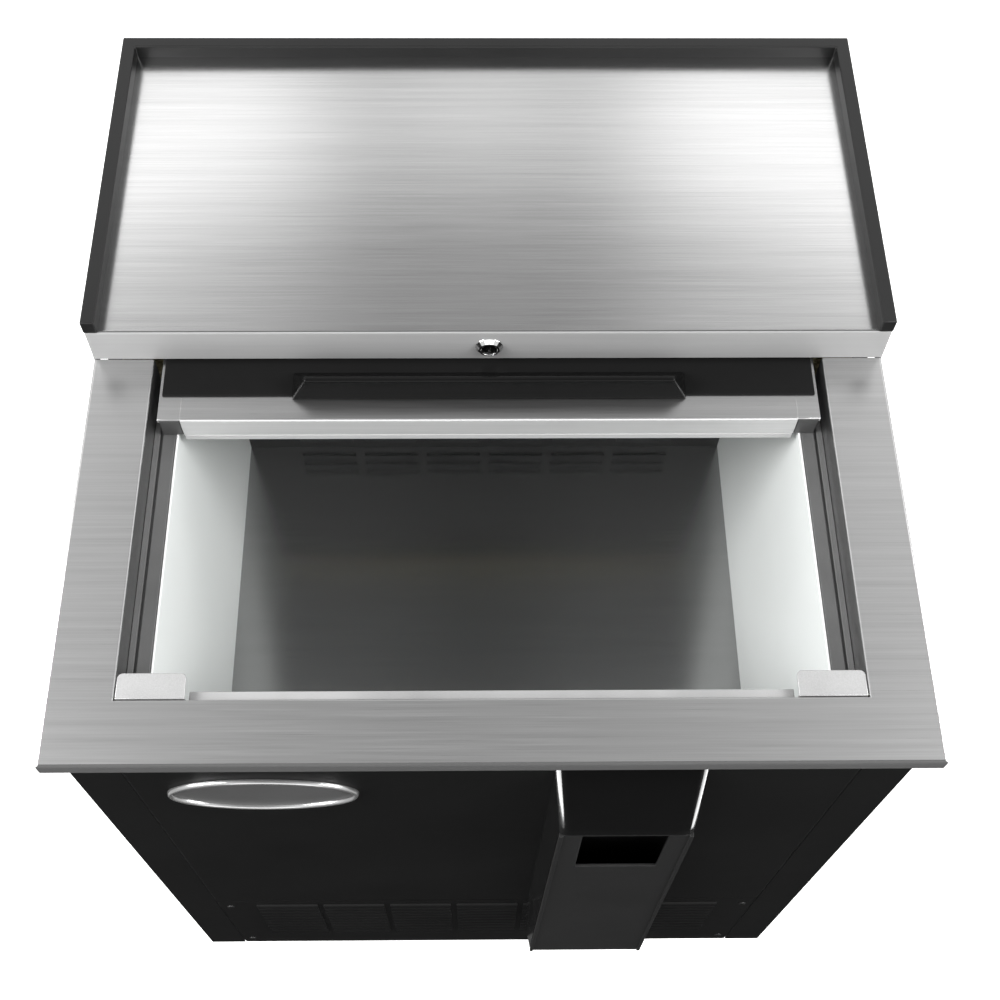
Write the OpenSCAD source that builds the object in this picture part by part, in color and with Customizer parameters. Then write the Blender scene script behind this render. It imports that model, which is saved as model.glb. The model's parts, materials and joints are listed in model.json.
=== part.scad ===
/* [Overall] */
// Width of the counter and of the raised deck
unit_w = 616; // [560:1:760]
// Depth from the front edge of the counter to the back of the deck
unit_d = 622; // [590:1:760]
// Height of the counter top above the floor
counter_h = 800; // [760:1:980]
// Height of the deck above the counter top
deck_rise = 36; // [32:1:60]
// How far the counter stands out past the cabinet, on every side
overhang = 10.5; // [6:0.5:14]

/* [Sheet metal] */
// Thickness of the cabinet panels
skin_t = 1.2; // [0.8:0.1:2]
// Thickness of the stainless counter and deck
top_t = 1.2; // [0.8:0.1:1.6]
// Height of the counter's turned-down lip
lip_h = 12.5; // [8:0.5:20]
// Thickness of the base pan
pan_t = 3; // [2:0.5:5]
// Width of the corner posts, seen from the front
post_w = 36; // [28:1:48]
// Gap at the seams between panels
seam = 1; // [0.5:0.1:2]
// Height of the louvred lower panels
grille_h = 200; // [180:1:230]

/* [Mouth and well] */
// Width of the counter border at the front
border_f = 47.6; // [40:0.1:60]
// Width of the counter border at each side
border_s = 47; // [40:0.1:60]
// Distance from the front edge of the counter to the fascia
fascia_d = 327.5; // [320:0.5:380]
// Depth of the track ledges below the counter top
ledge_drop = 27; // [25:0.5:34]
// Width of each track ledge
ledge_w = 19; // [15:0.5:24]
// Distance from the front edge of the counter to the well
well_fd = 60; // [58:0.5:70]
// Length of the well, front to back
well_l = 389; // [360:1:430]
// Depth of the well floor below the counter top
well_drop = 347; // [300:1:370]
// Thickness of the well liners
liner_t = 1.5; // [1:0.1:3]

/* [Deck] */
// Width of the gallery rail
rail_w = 11; // [8:0.5:16]
// Height of the gallery rail above the deck
rail_h = 12; // [8:0.5:20]
// Gap between the deck sheet and the rail
rail_gap = 0.3; // [0.2:0.1:1]

/* [Lid] */
// Gap between the lid skin and each side of the opening
lid_side_gap = 6; // [4:0.5:8]
// Gap between the lid body and each side of the well
lid_body_gap = 4.5; // [3:0.5:8]
// Depth of the lid skin below the counter top
lid_drop = 4.5; // [4:0.1:6]
// Height of the steel front of the lid
lid_front_h = 21; // [18:0.5:24]
// Thickness of the lid liner
lid_liner_t = 8; // [5:0.5:10]
// Gap in front of the closed lid, from the counter edge
lid_front_gap = 58; // [56:0.5:66]
// How much of the lid shows in front of the fascia when it is open
lid_shown = 53.5; // [48:0.5:90]
// How far the closed lid still reaches behind the fascia
lid_overlap = 30.5; // [26:0.5:40]
// Depth of the bare steel band at the front of the lid
band_d = 20.5; // [14:0.5:30]
// Thickness of the lid cover plate
cover_t = 1.6; // [1:0.1:2]
// Width of the grip at its foot
grip_w = 304; // [200:1:400]
// Depth of the grip at its foot
grip_d = 25; // [18:0.5:30]
// Height of the grip
grip_h = 24; // [15:0.5:30]
// How far the ends of the grip lean in
grip_lean = 8; // [3:0.5:14]

/* [Lock] */
// Radius of the lock bezel
bezel_r = 11; // [9:0.5:13]
// How far the lock bezel stands out
bezel_out = 6; // [3:0.5:9]
// Radius of the lock barrel
barrel_r = 6; // [5:0.5:8]
// Radial clearance around the lock barrel
lock_clear = 0.05; // [0.03:0.01:0.08]
// Length of the lock cam from the barrel's centre
cam_l = 15; // [12:0.5:16]

/* [Louvres] */
// Number of louvre groups across the cabinet
groups = 7; // [5:1:8]
// Number of slots in each group
slots = 10; // [6:1:11]
// Gap between louvre groups
group_gap = 8; // [6:0.5:14]
// Plain margin at each end of the louvred panels
grille_margin = 37; // [20:1:60]
// Height of one slot
slot_h = 5; // [3:0.5:7]
// Height of the lowest slot above the bottom of its panel
slot_low = 62; // [40:1:80]
// Plain margin above the highest slot
slot_top = 16; // [12:1:40]
// Number of slot groups in the well's back wall
cover_groups = 6; // [4:1:7]
// Gap between slot groups in the well's back wall
cover_gap = 13; // [8:1:20]
// Plain margin beside the slots in the well's back wall
cover_margin = 53.5; // [30:0.5:70]
// Number of slots in each group of the well's back wall
cover_slots = 3; // [2:1:4]

/* [Cap catcher] */
// Distance of the catcher from the middle of the cabinet
catcher_x = 98.8; // [60:0.1:160]
// Width of the catcher at its foot
catcher_w = 111; // [90:1:130]
// Width of the catcher at the top of its front plate
catcher_top_w = 99; // [80:1:130]
// How far the catcher stands out past the counter edge
catcher_out = 21; // [18:0.5:34]
// Height of the catcher's front plate
plate_h = 446; // [380:1:460]
// Drop from the counter top to the front plate
plate_drop = 104; // [90:1:120]
// Width of the bottle window
window_w = 64; // [50:1:80]
// Height of the bottle window
window_h = 92; // [70:1:110]
// Wall thickness of the catcher
catcher_t = 2.5; // [2:0.1:4]
// Running gap around the cap bin
bin_gap = 0.5; // [0.4:0.1:1]
// Travel of the cap bin
bin_travel = 45; // [30:1:80]

/* [Badge] */
// Width of the blank oval badge
badge_w = 141; // [100:1:180]
// Height of the blank oval badge
badge_h = 68; // [50:1:80]
// Distance of the badge from the middle of the cabinet
badge_x = 168; // [120:1:180]

/* [Casters] */
// Radius of the caster wheels
wheel_r = 50; // [40:1:60]
// Width of the caster wheels
wheel_w = 24; // [20:1:30]
// Height of the fork's crown, kingpin and plate above the wheel
fork_room = 36; // [34:1:60]
// Distance from the kingpin to the axle
caster_trail = 32; // [25:1:38]
// Distance from the cabinet's sides to the kingpins
caster_inset = 66; // [60:1:90]
// Distance from the cabinet's front and back to the kingpins
caster_inset_y = 95; // [90:1:120]
// Radial clearance of the wheels on their axles
axle_clear = 0.05; // [0.03:0.01:0.08]

/* [Hidden] */
$fn = 64;
e = 0.01;

// Places, with the middle of the footprint at the origin
front_y = (catcher_out - unit_d) / 2;
back_y = front_y + unit_d;
side_x = unit_w / 2;
caster_h = 2 * wheel_r + fork_room;
cab_x = side_x - overhang;
cab_f = front_y + overhang;
cab_b = back_y - overhang;
deck_z = counter_h + deck_rise;
under_z = counter_h - top_t;
mouth_x = side_x - border_s;
mouth_f = front_y + border_f;
fascia_y = front_y + fascia_d;
ledge_z = counter_h - ledge_drop;
well_x = mouth_x - ledge_w;
well_f = front_y + well_fd;
well_b = well_f + well_l;
floor_z = counter_h - well_drop;
track_t = 8;
track_z = ledge_z - track_t;
in_x = cab_x - skin_t;
in_f = cab_f + 2 * skin_t;
in_b = cab_b - skin_t;
pan_z = caster_h + pan_t;

// Lid, stored open
lid_w = 2 * (mouth_x - lid_side_gap);
lid_body_w = 2 * (well_x - lid_body_gap);
lid_l = fascia_d - lid_front_gap + lid_overlap;
lid_travel = fascia_d - lid_front_gap - lid_shown;
lid_z = counter_h - lid_drop;
lid_f = front_y + lid_front_gap + lid_travel;
lid_b = lid_f + lid_l;
core_z = lid_z - lid_front_h;
liner_z = core_z - lid_liner_t;

// Insulation and the cold box behind the well
foam_z = floor_z - liner_t - 52;
cold_b = in_b - 55;
pocket_z = liner_z - 6;

// Lock on the fascia
lock_z = counter_h + 16;
catch_d = 3;
cam_y = fascia_y + 12;
cam_t = 3;

// Catcher
plate_y = front_y - catcher_out;
plate_z1 = counter_h - plate_drop;
plate_z0 = plate_z1 - plate_h;
catcher_splay = 5;
back_foot = catcher_w / 2 + catcher_splay;
back_top = catcher_top_w / 2 + catcher_splay;
roof_z = under_z - lip_h - 20;
bin_z1 = plate_z1 - window_h - 8;

// Casters
caster_x = cab_x - caster_inset;
caster_f = cab_f + caster_inset_y;
caster_b = cab_b - caster_inset_y;
caster_at = [for (y = [caster_f, caster_b]) for (s = [-1, 1]) [s * caster_x, y]];
plate_t = 4;
axle_r = 4;
fork_t = 3;
fork_gap = 1.5;
crown_z = caster_h - plate_t - 14;

// A block given by its lowest and highest corners
module span(lo, hi) { translate(lo) cube(hi - lo); }

// A rod along Y or X, between two places on that axis
module rod_y(x, z, y0, y1, r) { translate([x, y0, z]) rotate([-90, 0, 0]) cylinder(r = r, h = y1 - y0); }
module rod_x(y, z, x0, x1, r) { translate([x0, y, z]) rotate([0, 90, 0]) cylinder(r = r, h = x1 - x0); }

// Slots in a grid, cut through a sheet that faces along Y
module slot_grid(cols, rows, pitch_x, pitch_z, length, height, mid_x, low_z, y0, y1) {
    for (i = [0 : cols - 1], k = [0 : rows - 1])
        translate([mid_x + (i - (cols - 1) / 2) * pitch_x - length / 2, y0, low_z + k * pitch_z])
            cube([length, y1 - y0, height]);
}

// Cabinet

module side_panel(side) {
    color("#1c1c1e") mirror([side < 0 ? 1 : 0, 0, 0]) {
        span([cab_x - skin_t, cab_f, caster_h], [cab_x, cab_b, under_z]);
        // Behind the fascia the panel runs up inside the deck
        span([cab_x - skin_t, fascia_y + 3, under_z - e], [cab_x, cab_b, deck_z - 2 * top_t]);
        span([cab_x - post_w, cab_f, caster_h], [cab_x - skin_t, cab_f + skin_t, under_z]);
    }
}

module side_panel_left() { side_panel(-1); }
module side_panel_right() { side_panel(1); }

panel_x = cab_x - post_w - seam;
group_pitch = (2 * (panel_x - grille_margin) + group_gap) / groups;
slot_l = group_pitch - group_gap;
slot_pitch = (grille_h - slot_low - slot_top - slot_h) / (slots - 1);

module front_panel() {
    color("#1c1c1e")
        span([-panel_x, cab_f + 0.4, caster_h + grille_h + seam], [panel_x, cab_f + 0.4 + skin_t, under_z]);
}

module front_grille() {
    color("#1c1c1e") difference() {
        span([-panel_x, cab_f + 0.4, caster_h], [panel_x, cab_f + 0.4 + skin_t, caster_h + grille_h]);
        slot_grid(groups, slots, group_pitch, slot_pitch, slot_l, slot_h, 0,
            caster_h + slot_low, cab_f - e, cab_f + skin_t + 1);
    }
}

module rear_panel() {
    color("#b9bbbd") difference() {
        span([-in_x, cab_b - skin_t, caster_h + grille_h + seam], [in_x, cab_b, deck_z - 2 * top_t]);
        rod_y(gland_x, gland_z, cab_b - 5, cab_b + 1, gland_r + gland_clear);
        rod_y(knob_x, knob_z, cab_b - 5, cab_b + 1, knob_shaft_r + 1.5);
    }
}

module rear_grille() {
    color("#1c1c1e") difference() {
        span([-in_x, cab_b - skin_t, caster_h], [in_x, cab_b, caster_h + grille_h]);
        slot_grid(groups, slots, group_pitch, slot_pitch, slot_l, slot_h, 0,
            caster_h + slot_low, cab_b - 3, cab_b + 1);
    }
}

module base_pan() {
    color("#8d9093") span([-in_x, in_f, caster_h], [in_x, in_b, pan_z]);
}

module foam_blocks() {
    color("#e8dfb8") {
        // Both sides, beside the well and under the counter
        for (s = [0, 1]) mirror([s, 0, 0]) {
            span([well_x + liner_t, in_f, foam_z], [in_x, in_b, track_z]);
            span([mouth_x + top_t + 1, in_f, track_z], [in_x, fascia_y, under_z - 1]);
        }
        // Front, floor, behind the cold box, and the lid of the cold box
        span([-well_x - liner_t, in_f, foam_z], [well_x + liner_t, well_f - liner_t, track_z]);
        span([-well_x - liner_t, well_f - liner_t, foam_z], [well_x + liner_t, in_b, floor_z - liner_t]);
        span([-well_x - liner_t, cold_b, floor_z - liner_t], [well_x + liner_t, in_b, pocket_z]);
        span([-well_x, well_b, pocket_z - 20], [well_x, cold_b, pocket_z]);
    }
}

// Well

module liner_side(side) {
    color("#e3ebe8") mirror([side < 0 ? 1 : 0, 0, 0])
        span([well_x, well_f, floor_z], [well_x + liner_t, cold_b, track_z]);
}

module liner_left() { liner_side(-1); }
module liner_right() { liner_side(1); }

module liner_front() {
    color("#e3ebe8") span([-well_x, well_f - liner_t, floor_z], [well_x, well_f, track_z]);
}

module liner_floor() {
    color("#6f7072") span([-well_x - liner_t, well_f - liner_t, floor_z - liner_t],
        [well_x + liner_t, cold_b, floor_z]);
}

// Inlet slots low in the well's back wall, and an open air outlet above it
cover_pitch = (2 * (well_x - cover_margin) + cover_gap) / cover_groups;
cover_slot_l = cover_pitch - cover_gap;
cover_slot_low = 14;
cover_slot_pitch = 18;
outlet_gap = 18;
cover_z1 = pocket_z - 20 - outlet_gap;

module evaporator_cover() {
    color("#6f7072") difference() {
        span([-well_x, well_b, floor_z], [well_x, well_b + liner_t, cover_z1]);
        slot_grid(cover_groups, cover_slots, cover_pitch, cover_slot_pitch, cover_slot_l, slot_h, 0,
            floor_z + cover_slot_low, well_b - 1, well_b + liner_t + 1);
    }
}

fan_z = floor_z + 180;
fan_r = 52;
coil_h = 90;

module evaporator_coil() {
    color("#b7bcc0") {
        span([-200, well_b + 20, floor_z + 18], [200, cold_b - 8, floor_z + 18 + coil_h]);
        for (k = [0 : 2]) for (s = [-1, 1])
            rod_x(well_b + 35 + 22 * k, floor_z + 45, s < 0 ? -212 : 200, s < 0 ? -200 : 212, 4);
    }
}

// Fans: the ring, the arms behind the blades, and the shaft that carries them
ring_depth = 26;
arm_t = 3;
shaft_r = 3;
shaft_clear = 0.05;
shaft_l = 15;
hub_t = 9;
blade_tilt = 28;
blade_chord = 26;

// A fan's ring, its four arms, its motor and its shaft, from ring_y towards +Y
module fan_frame(x, z, ring_y, r, motor_r, motor_l) {
    arm_y = ring_y + ring_depth - arm_t;
    difference() {
        span([x - r - 12, ring_y, z - r - 12], [x + r + 12, ring_y + ring_depth, z + r + 12]);
        rod_y(x, z, ring_y - 1, ring_y + ring_depth + 1, r + 3);
    }
    for (a = [0 : 90 : 270]) translate([x, arm_y, z]) rotate([0, a, 0])
        translate([motor_r - 1, 0, -4]) cube([r + 4.5 - motor_r, arm_t, 8]);
    rod_y(x, z, arm_y, arm_y + motor_l, motor_r);
    rod_y(x, z, arm_y - shaft_l, arm_y, shaft_r);
}

// Five flat blades on a bored hub, in the ring that starts at ring_y
module fan_blade(x, z, ring_y, r) {
    y = ring_y + ring_depth - arm_t - shaft_l + 2;
    difference() {
        union() {
            rod_y(x, z, y, y + hub_t, 14);
            for (a = [0 : 72 : 288]) translate([x, y + hub_t / 2, z]) rotate([0, a, 0])
                translate([10, 0, 0]) rotate([blade_tilt, 0, 0])
                    translate([0, -1, -blade_chord / 2]) cube([r - 10.5, 2, blade_chord]);
        }
        rod_y(x, z, y - 8, y + hub_t + 8, shaft_r + shaft_clear);
    }
}

ev_ring_y = well_b + liner_t + 2;

module evaporator_fan_frame() { color("#3a3d40") fan_frame(0, fan_z, ev_ring_y, fan_r, 22, 34); }
module evaporator_fan_blade() { color("#d8dadc") fan_blade(0, fan_z, ev_ring_y, fan_r); }

// Counter and deck

module counter_frame() {
    color("#a9abad") {
        // Front, left and right borders
        span([-side_x, front_y, under_z], [side_x, mouth_f, counter_h]);
        for (s = [0, 1]) mirror([s, 0, 0]) {
            span([mouth_x, mouth_f - e, under_z], [side_x, fascia_y, counter_h]);
            span([side_x - top_t, front_y, counter_h - lip_h], [side_x, fascia_y, under_z + e]);
            span([mouth_x, mouth_f, track_z + 0.5], [mouth_x + top_t, fascia_y, under_z + e]);
        }
        span([-side_x, front_y, counter_h - lip_h], [side_x, front_y + top_t, under_z + e]);
        span([-mouth_x - top_t, mouth_f - top_t, track_z + 0.5], [mouth_x + top_t, mouth_f, under_z + e]);
    }
}

module deck_panel() {
    color("#cfd1d3") difference() {
        union() {
            span([-side_x + rail_w + rail_gap, fascia_y, deck_z - 2 * top_t],
                [side_x - rail_w - rail_gap, back_y - rail_w - rail_gap, deck_z]);
            span([-side_x, fascia_y, deck_z - 2 * top_t], [side_x, back_y, deck_z - top_t]);
            span([-side_x, fascia_y, counter_h + 0.5], [side_x, fascia_y + top_t, deck_z - top_t]);
            for (s = [0, 1]) mirror([s, 0, 0])
                span([side_x - top_t, fascia_y, counter_h - lip_h], [side_x, back_y, deck_z - top_t]);
            span([-side_x, back_y - top_t, counter_h - lip_h], [side_x, back_y, deck_z - top_t]);
        }
        rod_y(0, lock_z, fascia_y - 1, fascia_y + top_t + 1, barrel_r + 2.5);
        // Ledges that would meet the counter's sides stop short of them
        for (s = [0, 1]) mirror([s, 0, 0])
            span([side_x - top_t - e, fascia_y - e, counter_h - lip_h - e],
                [side_x + e, fascia_y + 0.3, counter_h + 0.5]);
    }
}

module rail_run(length) {
    // Mitred at the far end only
    linear_extrude(rail_h + top_t)
        polygon([[0, 0], [rail_w, 0], [rail_w, length - rail_w], [0, length]]);
}

module gallery_rail() {
    color("#2b2b2d") translate([0, 0, deck_z - top_t]) {
        for (s = [0, 1]) mirror([s, 0, 0])
            translate([-side_x, fascia_y, 0]) rail_run(back_y - fascia_y);
        linear_extrude(rail_h + top_t) polygon([[-side_x, back_y], [side_x, back_y],
            [side_x - rail_w, back_y - rail_w], [-side_x + rail_w, back_y - rail_w]]);
    }
}

module lock_bezel() {
    color("#d9dadb") difference() {
        union() {
            translate([0, fascia_y, lock_z]) rotate([90, 0, 0])
                cylinder(r1 = bezel_r, r2 = barrel_r + 1.6, h = bezel_out);
            rod_y(0, lock_z, fascia_y - e, fascia_y + 10, barrel_r + 2);
        }
        rod_y(0, lock_z, fascia_y - bezel_out - 1, fascia_y + 11, barrel_r + lock_clear);
    }
}

module lock_barrel() {
    color("#4a4c4e") {
        difference() {
            rod_y(0, lock_z, fascia_y - bezel_out + 1, cam_y, barrel_r);
            // Key slot
            span([-0.8, fascia_y - bezel_out, lock_z - 3.5], [0.8, fascia_y - 1, lock_z + 3.5]);
        }
        span([-4, cam_y, lock_z - 4], [cam_l, cam_y + cam_t, lock_z + 4]);
    }
}

// Tracks and trim

module lid_track(side) {
    color("#5b5d5f") mirror([side < 0 ? 1 : 0, 0, 0]) {
        difference() {
            span([well_x, well_f, track_z], [mouth_x, in_b - 1, ledge_z]);
            span([mouth_x - 6.5, well_f - 1, ledge_z - 2], [mouth_x - 4.5, in_b, ledge_z + 1]);
        }
    }
}

module lid_track_left() { lid_track(-1); }
module lid_track_right() { lid_track(1); }

trim_z = counter_h - 10;

module front_trim() {
    color("#d5d6d8") {
        span([-mouth_x + 50, mouth_f + 0.3, trim_z - top_t],
            [mouth_x - 50, front_y + lid_front_gap - 1, trim_z]);
        span([-mouth_x + 50, mouth_f + 0.3, track_z], [mouth_x - 50, mouth_f + 1.5, trim_z - top_t]);
    }
}

keeper_w = 48;
keeper_d = 19;

module corner_keepers() {
    color("#cfd1d2") for (s = [0, 1]) mirror([s, 0, 0]) {
        translate([mouth_x - 0.7 - keeper_w, mouth_f + 1, counter_h - 2.6]) difference() {
            cube([keeper_w, keeper_d, 1.5]);
            for (m = [0, 1]) translate([m * keeper_w, keeper_d, 0]) mirror([m, 0, 0]) difference() {
                translate([-e, -4, -1]) cube([4, 4 + e, 4]);
                translate([4, -4, -2]) cylinder(r = 4, h = 6);
            }
        }
        span([mouth_x - 0.7 - keeper_w, mouth_f + 1, track_z],
            [mouth_x - 0.7, mouth_f + 2.5, counter_h - 2.6]);
    }
}

// Lid

catch_y = cam_y - 2 - catch_d + lid_travel;

module lid_skin() {
    color("#a3a5a7") {
        span([-lid_w / 2, lid_f, lid_z - top_t], [lid_w / 2, lid_b, lid_z]);
        span([-lid_body_w / 2, lid_f, core_z], [lid_body_w / 2, lid_f + top_t, lid_z - top_t]);
        // Catch for the lock's cam
        span([-4, catch_y, lid_z - e], [cam_l, catch_y + catch_d, lid_z + 7]);
    }
}

// The cover plate, with the grip standing on its front edge
module lid_cover() {
    color("#222224") {
        difference() {
            span([-lid_w / 2, lid_f + band_d, lid_z], [lid_w / 2, lid_b, lid_z + cover_t]);
            span([-6, catch_y - 2, lid_z - 1], [cam_l + 2, catch_y + catch_d + 2, lid_z + 5]);
        }
        hull() {
            span([-grip_w / 2, lid_f + band_d - 6, lid_z + cover_t],
                [grip_w / 2, lid_f + band_d - 6 + grip_d, lid_z + cover_t + 1]);
            span([-grip_w / 2 + grip_lean, lid_f + band_d - 3, lid_z + grip_h - 1],
                [grip_w / 2 - grip_lean, lid_f + band_d + 3, lid_z + grip_h]);
        }
    }
}

module lid_core() {
    color("#efe6c0")
        span([-lid_body_w / 2, lid_f + top_t, core_z], [lid_body_w / 2, lid_b, lid_z - top_t]);
}

module lid_liner() {
    color("#e9efed") span([-lid_body_w / 2, lid_f, liner_z], [lid_body_w / 2, lid_b, core_z]);
}

module lid_glides() {
    color("#3b3d3f") for (s = [0, 1]) mirror([s, 0, 0])
        span([lid_body_w / 2, lid_f + 0.5, ledge_z + 0.3], [lid_w / 2 - 1, lid_b, lid_z - top_t]);
}

// Badge, screws

function oval(a, b) = [for (i = [0 : 95]) [a * cos(i * 3.75), b * sin(i * 3.75)]];

module badge() {
    color("#9a9c9e") translate([-badge_x, cab_f + 0.4, counter_h - 98]) rotate([90, 0, 0]) {
        linear_extrude(2) polygon(oval(badge_w / 2, badge_h / 2));
        linear_extrude(4.5) difference() {
            polygon(oval(badge_w / 2, badge_h / 2));
            polygon(oval(badge_w / 2 - 6, badge_h / 2 - 5));
        }
    }
}

screw_r = 3.5;

module panel_screws() {
    color("#2a2a2c") {
        for (s = [-1, 1]) for (z = [22, 178])
            rod_y(s * (panel_x - 10), caster_h + z, cab_f - 1.4, cab_f + 0.4, screw_r);
        for (s = [-1, 1]) for (z = [22, 178, 240, 440, 640])
            rod_y(s * (in_x - 12), caster_h + z, cab_b, cab_b + 1.8, screw_r);
    }
}

// Cap catcher

bin_front = 3;

// An upright plate, w_foot wide at plate_z0 and w_top wide at plate_z1
module tapered_plate(w_foot, w_top, y0, y1, z1) {
    w1 = w_foot + (w_top - w_foot) * (z1 - plate_z0) / plate_h;
    translate([0, y1, 0]) rotate([90, 0, 0]) linear_extrude(y1 - y0)
        polygon([[-w_foot / 2, plate_z0], [w_foot / 2, plate_z0], [w1 / 2, z1], [-w1 / 2, z1]]);
}

// One cheek: a leaning wall from the back plate to the bin plate
module cheek(wall, y_front) {
    hull() {
        span([back_foot - wall, -wall, plate_z0], [back_foot, 0, plate_z0 + 1]);
        span([back_top - wall, -wall, plate_z1], [back_top, 0, plate_z1 + 1]);
        span([catcher_w / 2 - wall, y_front, plate_z0], [catcher_w / 2, y_front + 1, plate_z0 + 1]);
        span([catcher_top_w / 2 - wall, y_front, plate_z1],
            [catcher_top_w / 2, y_front + 1, plate_z1 + 1]);
    }
}

module opener_housing() {
    wall = catcher_t;
    y_plate = plate_y - cab_f;
    color("#161618") translate([catcher_x, cab_f, 0]) {
        // Back plate, both cheeks and the sloping hood
        tapered_plate(2 * back_foot, 2 * back_top, -wall, 0, plate_z1);
        span([-back_top, -wall, plate_z1 - 1], [back_top, 0, roof_z]);
        for (s = [0, 1]) mirror([s, 0, 0]) cheek(wall, y_plate + bin_front);
        difference() {
            hull() {
                span([-back_top, -wall, roof_z - 2], [back_top, 0, roof_z]);
                span([-back_top, -wall, plate_z1], [back_top, 0, plate_z1 + 2]);
                span([-catcher_top_w / 2, y_plate, plate_z1],
                    [catcher_top_w / 2, y_plate + 2, plate_z1 + 14]);
            }
            hull() {
                span([6 - back_top, -wall, plate_z1 - 1], [back_top - 6, 1, plate_z1 + 28]);
                span([6 - catcher_top_w / 2, y_plate + 6, plate_z1 - 1],
                    [catcher_top_w / 2 - 6, y_plate + 8, plate_z1 + 8]);
            }
        }
    }
}

module bottle_opener() {
    color("#8f9294") translate([catcher_x, cab_f - catcher_t, 0]) {
        difference() {
            span([-20, -3, plate_z1 - 62], [20, 0, plate_z1 - 2]);
            for (z = [12, 52]) rod_y(0, plate_z1 - z, -4, 1, 2.2);
        }
        span([-16, -14, plate_z1 - 32], [16, -3, plate_z1 - 28]);
        span([-10, -14, plate_z1 - 28], [10, -11, plate_z1 - 22]);
    }
}

bin_in = catcher_t + bin_gap;

module cap_bin() {
    half_f = catcher_top_w / 2 - bin_in;
    deep = cab_f - catcher_t - bin_gap;
    color("#2a2a2c") {
        // Front plate with the bottle window
        difference() {
            translate([catcher_x, 0, 0]) tapered_plate(catcher_w, catcher_top_w,
                plate_y, plate_y + bin_front - bin_gap, plate_z1 - bin_gap);
            span([catcher_x - window_w / 2, plate_y - 1, plate_z1 - window_h - 2],
                [catcher_x + window_w / 2, plate_y + bin_front + 1, plate_z1 - 2]);
        }
        // Tray behind the plate
        difference() {
            span([catcher_x - half_f, plate_y + bin_front - bin_gap - e, plate_z0 + 2],
                [catcher_x + half_f, deep, bin_z1]);
            span([catcher_x - half_f + 2, plate_y + bin_front + 1, plate_z0 + 4],
                [catcher_x + half_f - 2, deep - 2, bin_z1 + 1]);
        }
    }
}

// Machine compartment

comp_x = 95;
comp_y = cab_b - 135;
comp_r = 62;
comp_z = pan_z + 16;

module compressor() {
    color("#1d1e20") {
        translate([comp_x, comp_y, comp_z]) {
            cylinder(r = comp_r, h = 85);
            translate([0, 0, 85]) scale(1) intersection() {
                cylinder(r = comp_r, h = 45);
                translate([0, 0, -35]) sphere(r = 71.2);
            }
            translate([-82, -60, -4]) cube([164, 120, 4]);
        }
    }
}

module compressor_mounts() {
    color("#2e2e30") for (sx = [-1, 1]) for (sy = [-1, 1])
        translate([comp_x + sx * 70, comp_y + sy * 48, pan_z]) cylinder(r = 11, h = comp_z - 4 - pan_z);
}

cond_x0 = -200;
cond_x1 = 20;
cond_z1 = pan_z + 170;

module condenser_coil() {
    color("#24262a") {
        span([cond_x0, in_f + 22, pan_z], [cond_x1, in_f + 66, cond_z1]);
        for (k = [0 : 5]) for (s = [0, 1])
            rod_x(in_f + 44, pan_z + 18 + 26 * k,
                s ? cond_x1 : cond_x0 - 10, s ? cond_x1 + 10 : cond_x0, 4);
    }
}

cond_fan_x = (cond_x0 + cond_x1) / 2;
cond_fan_z = pan_z + 86;
cond_fan_r = 70;
cond_ring_y = in_f + 70;

module condenser_fan_frame() {
    color("#2b2d30") fan_frame(cond_fan_x, cond_fan_z, cond_ring_y, cond_fan_r, 26, 40);
}

module condenser_fan_blade() {
    color("#c9cbcd") fan_blade(cond_fan_x, cond_fan_z, cond_ring_y, cond_fan_r);
}

line_r = 3;
elbow_r = 4;

// Discharge line to the condenser's upper tube, and suction line up to the cold box
module refrigerant_lines() {
    line_x = comp_x - 40;
    line_y = in_f + 104;
    line_z = pan_z + 44;
    stub_x = cond_x1 + 16;
    rise_x = comp_x + comp_r + 30;
    rise_z = comp_z + 60;
    color("#b87333") {
        rod_y(line_x, line_z, line_y, comp_y - 44, line_r);
        rod_x(line_y, line_z, stub_x, line_x, line_r);
        rod_y(stub_x, line_z, in_f + 44, line_y, line_r);
        rod_x(in_f + 44, line_z, cond_x1 + 10, stub_x, line_r);
        rod_x(comp_y, rise_z, comp_x + comp_r - 1, rise_x, line_r);
        translate([rise_x, comp_y, rise_z]) cylinder(r = line_r, h = foam_z - 2 - rise_z);
        // Brazed elbows
        for (p = [[line_x, line_y, line_z], [stub_x, line_y, line_z],
                [stub_x, in_f + 44, line_z], [rise_x, comp_y, rise_z]])
            translate(p) sphere(r = elbow_r);
    }
}

module drain_pan() {
    color("#55585b") difference() {
        span([-220, comp_y - 60, pan_z], [-60, comp_y + 60, pan_z + 38]);
        span([-218, comp_y - 58, pan_z + 2], [-62, comp_y + 58, pan_z + 39]);
    }
}

box_x0 = -255;
box_x1 = -150;
box_z0 = caster_h + grille_h + 6;
gland_x = -225;
gland_z = box_z0 + 22;
gland_r = 9;
gland_clear = 0.15;
knob_x = -180;
knob_z = gland_z;
knob_shaft_r = 3;

module control_box() {
    color("#303236") difference() {
        span([box_x0, in_b - 62, box_z0], [box_x1, in_b, foam_z - 2]);
        rod_y(knob_x, knob_z, in_b - 20, in_b + 1, knob_shaft_r + shaft_clear);
        rod_y(gland_x, gland_z, in_b - 30, in_b + 1, gland_r + gland_clear);
    }
}

module thermostat_knob() {
    color("#1b1b1d") {
        rod_y(knob_x, knob_z, in_b - 18, cab_b + 1, knob_shaft_r);
        difference() {
            rod_y(knob_x, knob_z, cab_b + 0.4, cab_b + 9, 13);
            span([knob_x - 0.8, cab_b + 8, knob_z], [knob_x + 0.8, cab_b + 10, knob_z + 13]);
        }
    }
}

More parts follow.
